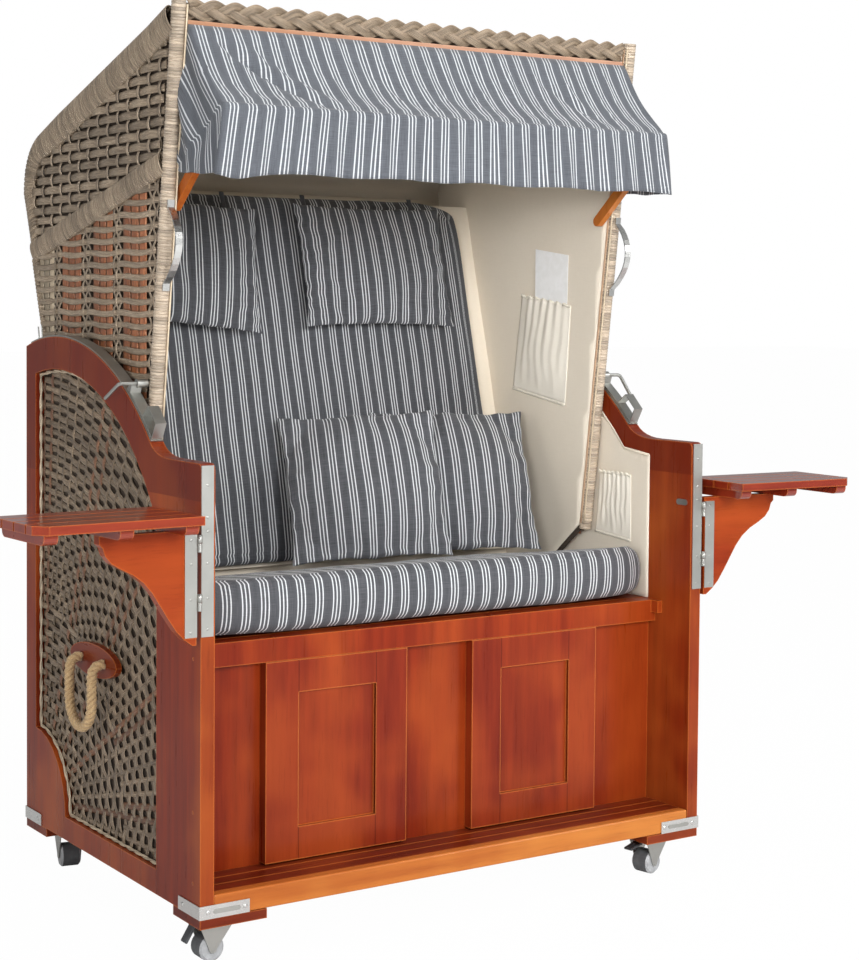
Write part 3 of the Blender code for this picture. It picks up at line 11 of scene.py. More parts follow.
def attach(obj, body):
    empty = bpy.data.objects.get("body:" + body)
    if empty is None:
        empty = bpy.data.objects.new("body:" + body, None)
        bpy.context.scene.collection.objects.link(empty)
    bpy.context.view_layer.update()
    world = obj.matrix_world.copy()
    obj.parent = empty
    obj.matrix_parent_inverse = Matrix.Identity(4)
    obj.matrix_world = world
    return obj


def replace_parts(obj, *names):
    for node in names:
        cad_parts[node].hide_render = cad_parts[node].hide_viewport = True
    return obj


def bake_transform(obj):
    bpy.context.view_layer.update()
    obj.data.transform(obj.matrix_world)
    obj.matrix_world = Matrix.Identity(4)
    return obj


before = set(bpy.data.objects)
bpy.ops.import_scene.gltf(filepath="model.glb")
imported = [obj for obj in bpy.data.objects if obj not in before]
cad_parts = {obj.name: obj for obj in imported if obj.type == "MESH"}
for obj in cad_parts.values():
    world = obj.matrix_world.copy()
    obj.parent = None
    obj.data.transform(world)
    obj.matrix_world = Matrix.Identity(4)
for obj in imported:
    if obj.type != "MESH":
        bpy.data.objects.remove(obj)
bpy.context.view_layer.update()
RANDOM = np.random.default_rng(7)

# Sizes that the chair's model is built from
BASE_FRONT = -0.4255
BASE_BOTTOM = 0.096
BASE_DEPTH = 0.828
HALF = 0.59
PANEL_THICK = 0.028
SEAM = 0.0003
INNER = HALF - PANEL_THICK - SEAM
SEAT_HEIGHT = 0.478
RECESS_DEPTH = 0.135
AXIS_BACK = 0.66
AXIS_UP = 0.42
HOOD_TOP = 1.674
HOOD_FRONT_BACK = 0.197
HOOD_FRONT_SLOPE = 0.1285
HOOD_OUTER = 0.553
HOOD_WALL = 0.026
HOOD_INNER = HOOD_OUTER - HOOD_WALL
HOOD_FOOT_UP = 0.618
HOOD_KINK_UP = 0.55
ROLL_RADIUS = 0.0135
ROLL_MIDDLE = HOOD_OUTER - HOOD_WALL / 2
HOOD_REACH = ROLL_MIDDLE - ROLL_RADIUS - SEAM
ROOF_SLOPE = 0.309
ROOF_END_BACK = 0.868
REAR_TOP_BACK = 0.947
REAR_TOP_UP = 1.36
REAR_SLOPE = 0.356
REAR_FOOT_UP = 0.47
SHELL_THICK = 0.035
FRONT_RAIL_THICK = 0.026
SIDES = (("left", -1), ("right", 1))
CORNERS = ("front_left", "front_right", "rear_left", "rear_right")


def back(distance):
    """The Y of a place this far behind the front of the base."""
    return BASE_FRONT + distance


def up(height):
    """The Z of a place this far above the bottom of the base."""
    return BASE_BOTTOM + height


def front_line(height):
    """How far back the hood's front edge lies at a height."""
    return HOOD_FRONT_BACK + HOOD_FRONT_SLOPE * (HOOD_TOP - height)


def roof_up(distance):
    return HOOD_TOP - ROOF_SLOPE * (distance - HOOD_FRONT_BACK)


def rear_back(height):
    return REAR_TOP_BACK - REAR_SLOPE * (REAR_TOP_UP - height)


def arc(centre, radius, start_deg, end_deg, steps):
    """Points (first, second) along an arc, both ends included."""
    points = []
    for i in range(steps + 1):
        angle = math.radians(start_deg + (end_deg - start_deg) * i / steps)
        points.append((centre[0] + radius * math.cos(angle), centre[1] + radius * math.sin(angle)))
    return points


def bend(start, control, end, steps):
    """Points along a quadratic curve, both ends included."""
    points = []
    for i in range(steps + 1):
        t = i / steps
        points.append(tuple(
            (1 - t) ** 2 * a + 2 * t * (1 - t) * b + t ** 2 * c for a, b, c in zip(start, control, end)
        ))
    return points


def rear_corner(steps=6):
    """The rounded upper rear corner of the hood's outline, from the roof to the rear wall."""
    roof_end = (ROOF_END_BACK, roof_up(ROOF_END_BACK))
    meet_back = (HOOD_TOP + ROOF_SLOPE * HOOD_FRONT_BACK - REAR_TOP_UP + REAR_TOP_BACK / REAR_SLOPE) / (
        ROOF_SLOPE + 1 / REAR_SLOPE)
    return bend(roof_end, (meet_back, roof_up(meet_back)), (REAR_TOP_BACK, REAR_TOP_UP), steps)


# Shader nodes

def node(tree, kind, inputs=None, **settings):
    """One shader node. An input is a value, or the output socket that feeds it."""
    made = tree.nodes.new(kind)
    for key, value in settings.items():
        setattr(made, key, value)
    for key, value in (inputs or {}).items():
        if isinstance(value, bpy.types.NodeSocket):
            tree.links.new(value, made.inputs[key])
        else:
            made.inputs[key].default_value = value
    return made


def maths(tree, operation, *values):
    """One operation on numbers or sockets."""
    return node(tree, "ShaderNodeMath", dict(enumerate(values)), operation=operation).outputs[0]


def mixed(tree, share, first, second, blend="MIX"):
    """A colour between two others."""
    made = node(tree, "ShaderNodeMix", data_type="RGBA", blend_type=blend)
    for index, value in ((0, share), (6, first), (7, second)):
        if isinstance(value, bpy.types.NodeSocket):
            tree.links.new(value, made.inputs[index])
        elif index:
            made.inputs[index].default_value = (*value, 1.0)
        else:
            made.inputs[index].default_value = value
    return made.outputs[2]


def ramp(tree, value, low, high):
    """0 below low, 1 above high and smooth between."""
    made = node(tree, "ShaderNodeMapRange", {"Value": value, "From Min": low, "From Max": high},
                interpolation_type="SMOOTHSTEP")
    return made.outputs["Result"]


def noisy(tree, vector, scale, detail=3.0, roughness=0.55):
    inputs = {"Scale": scale, "Detail": detail, "Roughness": roughness}
    if vector is not None:
        inputs["Vector"] = vector
    return node(tree, "ShaderNodeTexNoise", inputs).outputs["Fac"]


def scaled(tree, vector, scale):
    return node(tree, "ShaderNodeMapping", {"Vector": vector, "Scale": scale}).outputs["Vector"]


def object_place(tree, scale=(1, 1, 1)):
    """Object coordinates, stretched."""
    return scaled(tree, node(tree, "ShaderNodeTexCoord").outputs["Object"], scale)


def attribute(tree, name):
    """The three parts of a vector that the mesh carries."""
    vector = node(tree, "ShaderNodeAttribute", attribute_name=name).outputs["Vector"]
    parts = node(tree, "ShaderNodeSeparateXYZ", {"Vector": vector})
    return vector, parts.outputs[0], parts.outputs[1], parts.outputs[2]


def bump(tree, height, strength, distance, before=None):
    inputs = {"Height": height, "Strength": strength, "Distance": distance}
    if before is not None:
        inputs["Normal"] = before
    return node(tree, "ShaderNodeBump", inputs).outputs["Normal"]


def new_material(name, **sockets):
    """A Principled material. A name's underscores stand for the spaces of its socket."""
    made = bpy.data.materials.new(name)
    made.use_nodes = True
    shader = made.node_tree.nodes["Principled BSDF"]
    for key, value in sockets.items():
        shader.inputs[key.replace("_", " ")].default_value = value
    return made, made.node_tree, shader


def feed(tree, shader, **sockets):
    for key, value in sockets.items():
        tree.links.new(value, shader.inputs[key.replace("_", " ")])


def wicker_material(name, dark, middle, light):
    """Plastic cane: streaks along the strand, paler near its edges as a painted highlight, and each strand
    its own tone."""
    made, tree, shader = new_material(name, Roughness=0.42)
    vector, _, across, tone = attribute(tree, "strand")
    streaks = noisy(tree, scaled(tree, vector, (14, 2.2, 37)), 1.6, 4.0)
    fine = noisy(tree, scaled(tree, vector, (30, 7, 61)), 2.0, 2.0)
    body = mixed(tree, ramp(tree, streaks, 0.3, 0.68), dark, middle)
    body = mixed(tree, ramp(tree, fine, 0.52, 0.7), body, light)
    # Painted highlight: each strand made paler towards its edges.
    edge = maths(tree, "ABSOLUTE", across)
    body = mixed(tree, maths(tree, "MULTIPLY", ramp(tree, edge, 0.62, 0.95), 0.55), body, light)
    own_tone = maths(tree, "MULTIPLY_ADD", tone, 0.55, 0.72)
    feed(tree, shader, Base_Color=mixed(tree, 1.0, body, own_tone, "MULTIPLY"),
         Normal=bump(tree, fine, 0.35, 0.0006),
         Roughness=maths(tree, "MULTIPLY_ADD", streaks, 0.3, 0.28))
    return made


STRIPE_PITCH = 0.0385
STRIPE_SPREAD = 0.0078
STRIPE_HALF = 0.00125
BACK_PITCH = 0.0350
SEAT_PITCH = 0.0395
LOOSE_PITCH = 0.0335
THREAD = 0.0009


def striped_material(name, dark, light, white=(0.80, 0.82, 0.84)):
    """Chambray with groups of three thin white lines. The mesh's cloth attribute holds metres across
    and along."""
    made, tree, shader = new_material(name, Roughness=0.85, Sheen_Weight=0.12, Sheen_Roughness=0.5)
    vector, across, _, _ = attribute(tree, "cloth")
    wavy = noisy(tree, vector, 9.0, 2.0)
    shifted = maths(tree, "ADD", across, maths(tree, "MULTIPLY", wavy, 0.0012))
    within = maths(tree, "PINGPONG", shifted, STRIPE_PITCH / 2)
    offset = maths(tree, "ABSOLUTE", maths(tree, "SUBTRACT", within, STRIPE_SPREAD))
    centre, outer = (ramp(tree, away, STRIPE_HALF * 1.25, STRIPE_HALF * 0.7) for away in (within, offset))
    lines = maths(tree, "MAXIMUM", centre, outer)
    warp = noisy(tree, scaled(tree, vector, (1 / THREAD, 25, 1)), 1.0, 2.0)
    weft = noisy(tree, scaled(tree, vector, (25, 1 / THREAD, 1)), 1.0, 2.0)
    threads = maths(tree, "ADD", warp, weft)
    broad = noisy(tree, vector, 6.0, 3.0)
    share = maths(tree, "ADD", maths(tree, "MULTIPLY", ramp(tree, threads, 0.7, 1.3), 0.75),
                  maths(tree, "MULTIPLY", broad, 0.25))
    ground = mixed(tree, share, dark, light)
    halo = ramp(tree, within, STRIPE_SPREAD * 2.1, STRIPE_SPREAD * 1.5)
    ground = mixed(tree, maths(tree, "MULTIPLY", halo, 0.22), ground, light)
    cover = maths(tree, "MULTIPLY_ADD", ramp(tree, weft, 0.3, 0.62), 0.2, 0.8)
    feed(tree, shader, Base_Color=mixed(tree, maths(tree, "MULTIPLY", lines, cover), ground, white),
         Normal=bump(tree, threads, 0.3, 0.0004))
    return made


def lining_material(name, dark, light):
    """Plain woven beige cloth."""
    made, tree, shader = new_material(name, Roughness=0.9, Sheen_Weight=0.1)
    place = object_place(tree)
    broad = noisy(tree, place, 5.0, 4.0)
    threads_a = noisy(tree, object_place(tree, (900, 900, 60)), 1.0, 2.0)
    threads_b = noisy(tree, object_place(tree, (60, 60, 900)), 1.0, 2.0)
    threads = maths(tree, "ADD", threads_a, threads_b)
    share = maths(tree, "ADD", maths(tree, "MULTIPLY", broad, 0.5), maths(tree, "MULTIPLY", threads, 0.28))
    feed(tree, shader, Base_Color=mixed(tree, share, dark, light), Normal=bump(tree, threads, 0.25, 0.0005))
    return made


GRAINS = {"x": (2.2, 34, 34), "y": (34, 2.2, 34), "z": (34, 34, 2.2)}


def wood_material(name, grain, dark, middle, light, edge=(0.62, 0.17, 0.03), coat=0.06, joints=(),
                  darker_above=None):
    """Stained and varnished wood, with its grain along one axis and paler edges, partly the stain rubbed thin and
    partly a painted highlight.
    A joint is a fine line where one coordinate has a value."""
    made, tree, shader = new_material(name, Specular_IOR_Level=0.14, Coat_Weight=coat, Coat_Roughness=0.12)
    stretched = object_place(tree, GRAINS[grain])
    bent = noisy(tree, object_place(tree, tuple(part / 6 for part in GRAINS[grain])), 1.0, 3.0)
    figure = noisy(tree, stretched, 1.3, 6.0, 0.6)
    fine = noisy(tree, object_place(tree, tuple(part * 7 for part in GRAINS[grain])), 1.0, 3.0, 0.7)
    body = mixed(tree, ramp(tree, figure, 0.15, 0.85), dark, middle)
    body = mixed(tree, maths(tree, "MULTIPLY", ramp(tree, bent, 0.4, 0.75), 0.5), body, light)
    cloud = noisy(tree, object_place(tree), 5.0, 2.0)
    body = mixed(tree, maths(tree, "MULTIPLY", ramp(tree, cloud, 0.42, 0.72), 0.45), body, light)
    pores = maths(tree, "MULTIPLY", ramp(tree, fine, 0.52, 0.75), 0.2)
    body = mixed(tree, pores, body, tuple(part * 0.45 for part in dark))
    if darker_above is not None:
        height = node(tree, "ShaderNodeSeparateXYZ", {"Vector": object_place(tree)}).outputs[2]
        above = ramp(tree, height, darker_above - 0.0006, darker_above + 0.0006)
        body = mixed(tree, maths(tree, "MULTIPLY", above, 0.62), body, dark)
    for axis, value in joints:
        parts = node(tree, "ShaderNodeSeparateXYZ", {"Vector": object_place(tree)})
        away = maths(tree, "ABSOLUTE", maths(tree, "SUBTRACT", parts.outputs["xyz".index(axis)], value))
        body = mixed(tree, maths(tree, "MULTIPLY", ramp(tree, away, 0.0016, 0.0005), 0.6), body,
                     tuple(part * 0.3 for part in dark))
    # Paler edges: partly the stain rubbed thin, partly a painted highlight along every edge whichever way it
    # faces.
    soft = node(tree, "ShaderNodeBevel", {"Radius": 0.004}, samples=4).outputs["Normal"]
    true = node(tree, "ShaderNodeNewGeometry").outputs["Normal"]
    facing = node(tree, "ShaderNodeVectorMath", {0: soft, 1: true}, operation="DOT_PRODUCT").outputs["Value"]
    wear_and_highlight = maths(tree, "MULTIPLY", ramp(tree, facing, 0.985, 0.86), 0.65)
    body = mixed(tree, wear_and_highlight, body, edge)
    feed(tree, shader, Base_Color=body, Normal=bump(tree, fine, 0.12, 0.0006),
         Roughness=maths(tree, "MULTIPLY_ADD", figure, 0.2, 0.2))
    return made


def steel_material(name, colour, roughness, grain=(40, 40, 400)):
    """Brushed steel with faint smudges."""
    made, tree, shader = new_material(name, Metallic=1.0)
    brushed = noisy(tree, object_place(tree, grain), 2.0, 3.0)
    smudges = noisy(tree, object_place(tree), 18.0, 4.0)
    both = maths(tree, "ADD", maths(tree, "MULTIPLY", brushed, 0.16), maths(tree, "MULTIPLY", smudges, 0.2))
    tone = mixed(tree, smudges, tuple(part * 0.82 for part in colour), colour)
    feed(tree, shader, Base_Color=tone, Roughness=maths(tree, "ADD", both, roughness - 0.18))
    feed(tree, shader, Normal=bump(tree, brushed, 0.05, 0.0004))
    return made


def plastic_material(name, colour, roughness):
    """Moulded plastic or rubber with a fine skin and a little dust."""
    made, tree, shader = new_material(name, Roughness=roughness)
    skin = noisy(tree, object_place(tree), 900.0, 2.0)
    dust = noisy(tree, object_place(tree), 60.0, 4.0)
    dusty = tuple(min(1.0, part * 1.35 + 0.01) for part in colour)
    tone = mixed(tree, ramp(tree, dust, 0.35, 0.8), colour, dusty)
    feed(tree, shader, Base_Color=tone, Normal=bump(tree, skin, 0.15, 0.0003))
    return made


def rope_material(name):
    made, tree, shader = new_material(name, Roughness=0.92, Sheen_Weight=0.2)
    fibres = noisy(tree, scaled(tree, attribute(tree, "strand")[0], (90, 9, 20)), 3.0, 4.0)
    colour = mixed(tree, ramp(tree, fibres, 0.3, 0.7), (0.36, 0.21, 0.09), (0.76, 0.55, 0.3))
    feed(tree, shader, Base_Color=colour, Normal=bump(tree, fibres, 0.6, 0.001))
    return made


TAUPE = wicker_material("taupe_cane", (0.150, 0.108, 0.072), (0.31, 0.238, 0.165), (0.60, 0.48, 0.35))
FAN_CANE = wicker_material("fan_cane", (0.105, 0.070, 0.044), (0.235, 0.172, 0.115), (0.50, 0.39, 0.27))
ROLL_CANE = wicker_material("roll_cane", (0.25, 0.185, 0.13), (0.52, 0.42, 0.31), (0.80, 0.70, 0.58))
BROWN = wicker_material("brown_cane", (0.19, 0.055, 0.022), (0.38, 0.125, 0.045), (0.52, 0.23, 0.10))
FAN_BROWN = wicker_material("fan_brown_cane", (0.09, 0.040, 0.022), (0.20, 0.090, 0.045), (0.34, 0.19, 0.11))
PALE = wicker_material("pale_cane", (0.36, 0.28, 0.19), (0.52, 0.42, 0.29), (0.66, 0.56, 0.42))
TRIM = wicker_material("trim_strip", (0.50, 0.30, 0.18), (0.62, 0.40, 0.25), (0.72, 0.52, 0.36))
# Painted shade: a dark colour for the sheets and cores set behind the weave, standing in for the shade seen
# through its gaps.
SHADE = plastic_material("weave_shade", (0.050, 0.034, 0.023), 0.9)
STRIPES = striped_material("striped_cushion", (0.032, 0.034, 0.039), (0.098, 0.101, 0.113),
                           (0.70, 0.72, 0.74))
# The seat's striped cloth made darker: painted shade for the backrest and head pillows under the hood.
SHADED_STRIPES = striped_material("shaded_striped_backrest", (0.022, 0.024, 0.028), (0.076, 0.079, 0.09),
                                (0.62, 0.64, 0.66))
AWNING = striped_material("striped_awning", (0.050, 0.055, 0.065), (0.120, 0.130, 0.150), (0.60, 0.62, 0.64))
LINING = lining_material("beige_lining", (0.68, 0.60, 0.48), (0.86, 0.78, 0.66))
CREAM = lining_material("cream_pocket", (0.76, 0.70, 0.59), (0.92, 0.87, 0.77))


def wood_set(name, *tones):
    """The same wood with its grain along each axis."""
    return {axis: wood_material(f"{name}_{axis}", axis, *tones) for axis in "xyz"}


DARK_WOOD = wood_set("dark_wood", (0.075, 0.008, 0.003), (0.17, 0.019, 0.006), (0.30, 0.05, 0.012))
SIDE_WOOD = wood_material("side_wood", "z", (0.13, 0.011, 0.003), (0.27, 0.031, 0.006), (0.46, 0.105, 0.017),
                          darker_above=0.853)
LIT_WOOD = wood_set("lit_wood", (0.14, 0.010, 0.002), (0.27, 0.027, 0.005), (0.44, 0.078, 0.012))
FRAME_WOOD = wood_material(
    "footrest_wood", "z", (0.13, 0.010, 0.003), (0.25, 0.026, 0.007), (0.41, 0.070, 0.013),
    edge=(0.75, 0.24, 0.05), joints=[("x", side * 0.238 + turn * 0.087) for side in (-1, 1) for turn in (-1, 1)])
TABLE_WOOD = wood_material(
    "table_wood", "x", (0.13, 0.009, 0.004), (0.24, 0.022, 0.008), (0.36, 0.050, 0.014), coat=0.85)
ORANGE_WOOD = wood_set("orange_wood", (0.32, 0.065, 0.012), (0.50, 0.14, 0.024), (0.68, 0.27, 0.055))
RAIL_WOOD = wood_material("rail_wood", "x", (0.30, 0.12, 0.06), (0.42, 0.21, 0.12), (0.55, 0.32, 0.20),
                          edge=(0.60, 0.36, 0.22))
STEEL = steel_material("zinc_steel", (0.50, 0.50, 0.47), 0.42)
BRIGHT = steel_material("bright_steel", (0.74, 0.74, 0.72), 0.27)
DARK_PLASTIC = plastic_material("dark_plastic", (0.05, 0.053, 0.058), 0.5)
GREY_PLASTIC = plastic_material("grey_plastic", (0.36, 0.37, 0.38), 0.45)
TREAD = plastic_material("wheel_tread", (0.10, 0.105, 0.11), 0.6)
CARD = plastic_material("blank_card", (0.92, 0.92, 0.91), 0.55)
ROPE = rope_material("hemp_rope")
STRAP = lining_material("pillow_strap", (0.035, 0.037, 0.043), (0.085, 0.088, 0.10))
PALE_CLOTH = lining_material("lining_hem", (0.58, 0.50, 0.39), (0.78, 0.70, 0.57))
CREAM_EDGE = lining_material("pocket_hem", (0.72, 0.66, 0.54), (0.88, 0.83, 0.72))


# Meshes

def finished(name, mesh, finish, smooth):
    """A mesh as an object of the scene."""
    if smooth:
        mesh.shade_smooth()
    mesh.materials.append(finish)
    obj = bpy.data.objects.new(name, mesh)
    bpy.context.scene.collection.objects.link(obj)
    return obj


def mesh_object(name, points, faces, finish, smooth=True):
    mesh = bpy.data.meshes.new(name)
    mesh.from_pydata([tuple(map(float, p)) for p in points], [], faces)
    mesh.update()
    return finished(name, mesh, finish, smooth)


def simple_mesh(name, shape, finish, smooth=True):
    bmesh.ops.recalc_face_normals(shape, faces=shape.faces)
    mesh = bpy.data.meshes.new(name)
    shape.to_mesh(mesh)
    shape.free()
    return finished(name, mesh, finish, smooth)


def skin(shape, grid, flipped=False):
    """Faces between the points of each line of a grid and the next."""
    for first, second in zip(grid, grid[1:]):
        for i in range(len(first) - 1):
            face = (first[i], first[i + 1], second[i + 1], second[i])
            shape.faces.new(face[::-1] if flipped else face)


def finer(obj):
    step = obj.modifiers.new("finer", "SUBSURF")
    step.levels = step.render_levels = 1


def turned(axis, degrees):
    return Matrix.Rotation(math.radians(degrees), 4, axis)


def part_way(first, second, share):
    """The place that far, as a share, from one place to another."""
    return tuple(a + (b - a) * share for a, b in zip(first, second))


def set_vector(obj, name, values):
    """Gives each point of the mesh a vector that its material reads."""
    layer = obj.data.attributes.new(name, "FLOAT_VECTOR", "POINT")
    layer.data.foreach_set("vector", np.asarray(values, np.float32).ravel())


def unit(vectors):
    return vectors / np.maximum(np.linalg.norm(vectors, axis=-1, keepdims=True), 1e-9)


RING_SHARES = np.array(((0.5, 0.0), (0.27, 0.5), (-0.27, 0.5), (-0.5, 0.0), (0.0, -0.5)))


class Strands:
    """Flat strands of cane, gathered into one mesh for each finish."""

    def __init__(self):
        self.points, self.faces, self.marks, self.slots, self.count = [], [], [], [], 0

    def add(self, path, outward, width, thick, closed=False, slot=0, ring=RING_SHARES):
        """One strand along a path, lying flat against the surface that outward leaves."""
        path = np.asarray(path, float)
        if len(path) < 2:
            return
        outward = np.broadcast_to(np.asarray(outward, float), path.shape)
        if closed:
            tangent = np.roll(path, -1, 0) - np.roll(path, 1, 0)
        else:
            tangent = np.gradient(path, axis=0)
        tangent = unit(tangent)
        side = unit(np.cross(outward, tangent))
        normal = np.cross(tangent, side)
        sides = len(ring)
        points = (path[:, None] + side[:, None] * (ring[:, 0] * width)[None, :, None]
                  + normal[:, None] * (ring[:, 1] * thick)[None, :, None])
        steps = np.linalg.norm(np.diff(path, axis=0), axis=1)
        along = np.concatenate([[0], np.cumsum(steps)]) + RANDOM.random() * 3
        marks = np.empty((len(path), sides, 3))
        marks[..., 0] = along[:, None]
        marks[..., 1] = ring[None, :, 0] * 2
        marks[..., 2] = RANDOM.random()
        rings = len(path)
        index = np.arange(rings * sides).reshape(rings, sides) + self.count
        following = np.roll(index, -1, 1)
        if closed:
            first, second, first_next, second_next = index, np.roll(index, -1, 0), following, np.roll(
                following, -1, 0)
        else:
            first, second, first_next, second_next = index[:-1], index[1:], following[:-1], following[1:]
        quads = np.stack([first, first_next, second_next, second], -1).reshape(-1, 4)
        faces = quads.tolist()
        if not closed:
            faces += [index[0, ::-1].tolist(), index[-1].tolist()]
        self.points.append(points.reshape(-1, 3))
        self.marks.append(marks.reshape(-1, 3))
        self.faces += faces
        self.slots += [slot] * len(faces)
        self.count += rings * sides

    def finish(self, name, finishes, body):
        obj = mesh_object(name, np.concatenate(self.points), self.faces, finishes[0])
        for more in finishes[1:]:
            obj.data.materials.append(more)
        if len(finishes) > 1:
            obj.data.polygons.foreach_set("material_index", self.slots)
        set_vector(obj, "strand", np.concatenate(self.marks))
        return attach(obj, body)


def inside(points, outline):
    """Which of the points lie inside a closed outline."""
    outline = np.asarray(outline, float)
    after = np.roll(outline, -1, 0)
    x, y = points[:, 0][:, None], points[:, 1][:, None]
    low, high = outline[:, 1], after[:, 1]
    crosses = (low > y) != (high > y)
    run = np.where(high == low, 1e-9, high - low)
    at = (after[:, 0] - outline[:, 0]) * (y - low) / run + outline[:, 0]
    return (np.sum(crosses & (x < at), axis=1) % 2).astype(bool)


def runs(mask):
    """Start and end of each stretch of True values."""
    padded = np.concatenate([[False], mask, [False]])
    edges = np.flatnonzero(padded[1:] != padded[:-1])
    return zip(edges[::2], edges[1::2])


def laid(place, flat, lift, outline):
    """The stretches of a flat line that lie inside an outline, each as points on the surface."""
    lift = np.broadcast_to(lift, len(flat))
    return [[place(*flat[i], lift[i]) for i in range(begin, end)]
            for begin, end in runs(inside(flat, outline)) if end - begin > 2]


def inset_outline(outline, inset):
    """A closed outline moved inwards by a distance at each point."""
    points = np.asarray(outline, float)
    before, after = np.roll(points, 1, 0), np.roll(points, -1, 0)
    first, second = unit(points - before), unit(after - points)
    area = np.sum(points[:, 0] * after[:, 1] - after[:, 0] * points[:, 1])
    turn = 1 if area > 0 else -1
    normal = unit(np.stack([-(first + second)[:, 1], (first + second)[:, 0]], 1)) * turn
    spread = np.maximum(0.35, np.sum(normal * np.stack([-second[:, 1], second[:, 0]], 1) * turn, 1))
    return points + normal * inset / spread[:, None]


def flat_plate(name, outline, place, low, high, finish, body):
    """A plate with a flat outline. place turns (first, second, lift) into a point."""
    shape = bmesh.new()
    rings = [[shape.verts.new(place(a, b, lift)) for a, b in outline] for lift in (low, high)]
    shape.faces.new(rings[0])
    shape.faces.new(rings[1][::-1])
    for i in range(len(outline)):
        j = (i + 1) % len(outline)
        shape.faces.new((rings[0][i], rings[1][i], rings[1][j], rings[0][j]))
    bmesh.ops.triangulate(shape, faces=[f for f in shape.faces if len(f.verts) > 4])
    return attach(simple_mesh(name, shape, finish, smooth=False), body)


def studs(name, places, radius, finish, body, rise=0.4):
    """Round heads of screws. Each place is a point and the way that the head faces."""
    shape = bmesh.new()
    for point, facing in places:
        turn = Vector((0, 0, 1)).rotation_difference(Vector(facing)).to_matrix().to_4x4()
        flat = Matrix.Diagonal((1, 1, rise, 1))
        bmesh.ops.create_uvsphere(shape, u_segments=14, v_segments=8, radius=radius,
                                  matrix=Matrix.Translation(point) @ turn @ flat)
    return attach(simple_mesh(name, shape, finish), body)


def on_side(sign, outer):
    """Places on a side wall: (back, up) and how far out from the wall's face."""
    def place(a, b, lift):
        return (sign * (outer + lift), back(a), up(b))
    return place


# Weaving

STRAND_WIDTH = 0.0135
STRAND_THICK = 0.0026
WEAVE_DEPTH = 0.0032


def weave(strands, place, outward, outline, row_gap, stake_gap, row_width=STRAND_WIDTH, stake_width=0.010,
          start=(0.0, 0.0)):
    """Plain weave over an outline: rows along the first axis, stakes along the second, over and under."""
    outline = np.asarray(outline, float)
    low, high = outline.min(0), outline.max(0)
    first_row = math.ceil((low[1] - start[1]) / row_gap)
    for n in range(first_row, int((high[1] - start[1]) / row_gap) + 1):
        b = start[1] + n * row_gap
        a = np.arange(low[0], high[0], stake_gap / 4)
        flat = np.stack([a, np.full_like(a, b)], 1)
        lift = WEAVE_DEPTH * np.cos(math.pi * ((a - start[0]) / stake_gap + n))
        for path in laid(place, flat, lift, outline):
            strands.add(path, outward, row_width * RANDOM.uniform(0.93, 1.05), STRAND_THICK)
    for k in range(math.ceil((low[0] - start[0]) / stake_gap), int((high[0] - start[0]) / stake_gap) + 1):
        a = start[0] + k * stake_gap
        b = np.arange(low[1], high[1], row_gap / 3)
        flat = np.stack([np.full_like(b, a), b], 1)
        lift = -WEAVE_DEPTH * np.cos(math.pi * ((b - start[1]) / row_gap + k))
        for path in laid(place, flat, lift, outline):
            strands.add(path, outward, stake_width, STRAND_THICK)


WRAP_GAP = 0.0088
WRAP_WIDTH = 0.0092
WRAP_STEPS = 16


def wraps(strands, centres, cross, outward, half_width, half_thick, lean=0.0, gap=WRAP_GAP, width=WRAP_WIDTH):
    """Cane wound side by side round a core that follows the centres. cross and outward span each turn."""
    centres = np.asarray(centres, float)
    steps = np.linalg.norm(np.diff(centres, axis=0), axis=1)
    length = np.concatenate([[0], np.cumsum(steps)])
    count = int(length[-1] / gap)
    turn = np.linspace(0, 2 * math.pi, WRAP_STEPS, endpoint=False)
    for n in range(count + 1):
        share = n * gap / length[-1]
        at = min(share, 1.0) * length[-1]
        middle, ahead, behind = (
            np.array([np.interp(distance, length, centres[:, i]) for i in range(3)])
            for distance in (at, min(at + gap, length[-1]), max(at - gap, 0)))
        run = unit(ahead - behind)
        across = cross(share) if callable(cross) else np.asarray(cross, float)
        out = outward(share) if callable(outward) else np.asarray(outward, float)
        wide = half_width(share) if callable(half_width) else half_width
        thick = half_thick(share) if callable(half_thick) else half_thick
        spin = RANDOM.uniform(-0.03, 0.03)
        ring = (middle + np.outer(np.cos(turn) * wide, across) + np.outer(np.sin(turn) * thick, out)
                + np.outer(np.cos(turn) * (lean + spin) * wide, run))
        away = unit(np.outer(np.cos(turn) / max(wide, 1e-4), across) + np.outer(np.sin(turn) / thick, out))
        strands.add(ring, away, width, 0.0022, closed=True)


# Wicker of the hood

RIM_WIDTH = 0.06
BAND_FRONT = (0.285, 1.366)
BAND_REAR = (0.866, 1.2245)
BAND_HALF = 0.023
WEAVE_SINK = 0.0055
LOW_ROW_GAP = 0.024
LOW_ROW_WIDTH = 0.0125
LOW_ROW_DROOP = 0.004
COLUMNS = ((0.320, 0.431), (0.479, 0.576), (0.636, 0.737), (0.778, 0.862))
COLUMN_BANDS = 3
COLUMN_SINK = -0.0012
WEAVE_START = 0.25
ROW_GAP = 0.0212
STAKE_GAP = 0.048
FLOAT_LIFT = 0.0045
ROLL_CLEAR = 0.012


def hood_outline():
    return (
        [(front_line(HOOD_FOOT_UP), HOOD_FOOT_UP)]
        + arc((AXIS_BACK, AXIS_UP), 0.05, 236, 360, 8)
        + [(max(rear_back(HOOD_KINK_UP), AXIS_BACK), HOOD_KINK_UP)]
        + rear_corner()[::-1]
        + [(HOOD_FRONT_BACK, HOOD_TOP)]
    )


def band_up(distance):
    """Height of the middle of the slanting band on the hood's side."""
    share = (distance - BAND_FRONT[0]) / (BAND_REAR[0] - BAND_FRONT[0])
    return BAND_FRONT[1] + (BAND_REAR[1] - BAND_FRONT[1]) * share


def stakes_and_columns():
    """The places of the three thin stakes before each broad column, and the column's two edges."""
    edge = WEAVE_START
    for first, last in COLUMNS:
        yield np.linspace(edge, first, 5)[1:-1], first, last
        edge = last


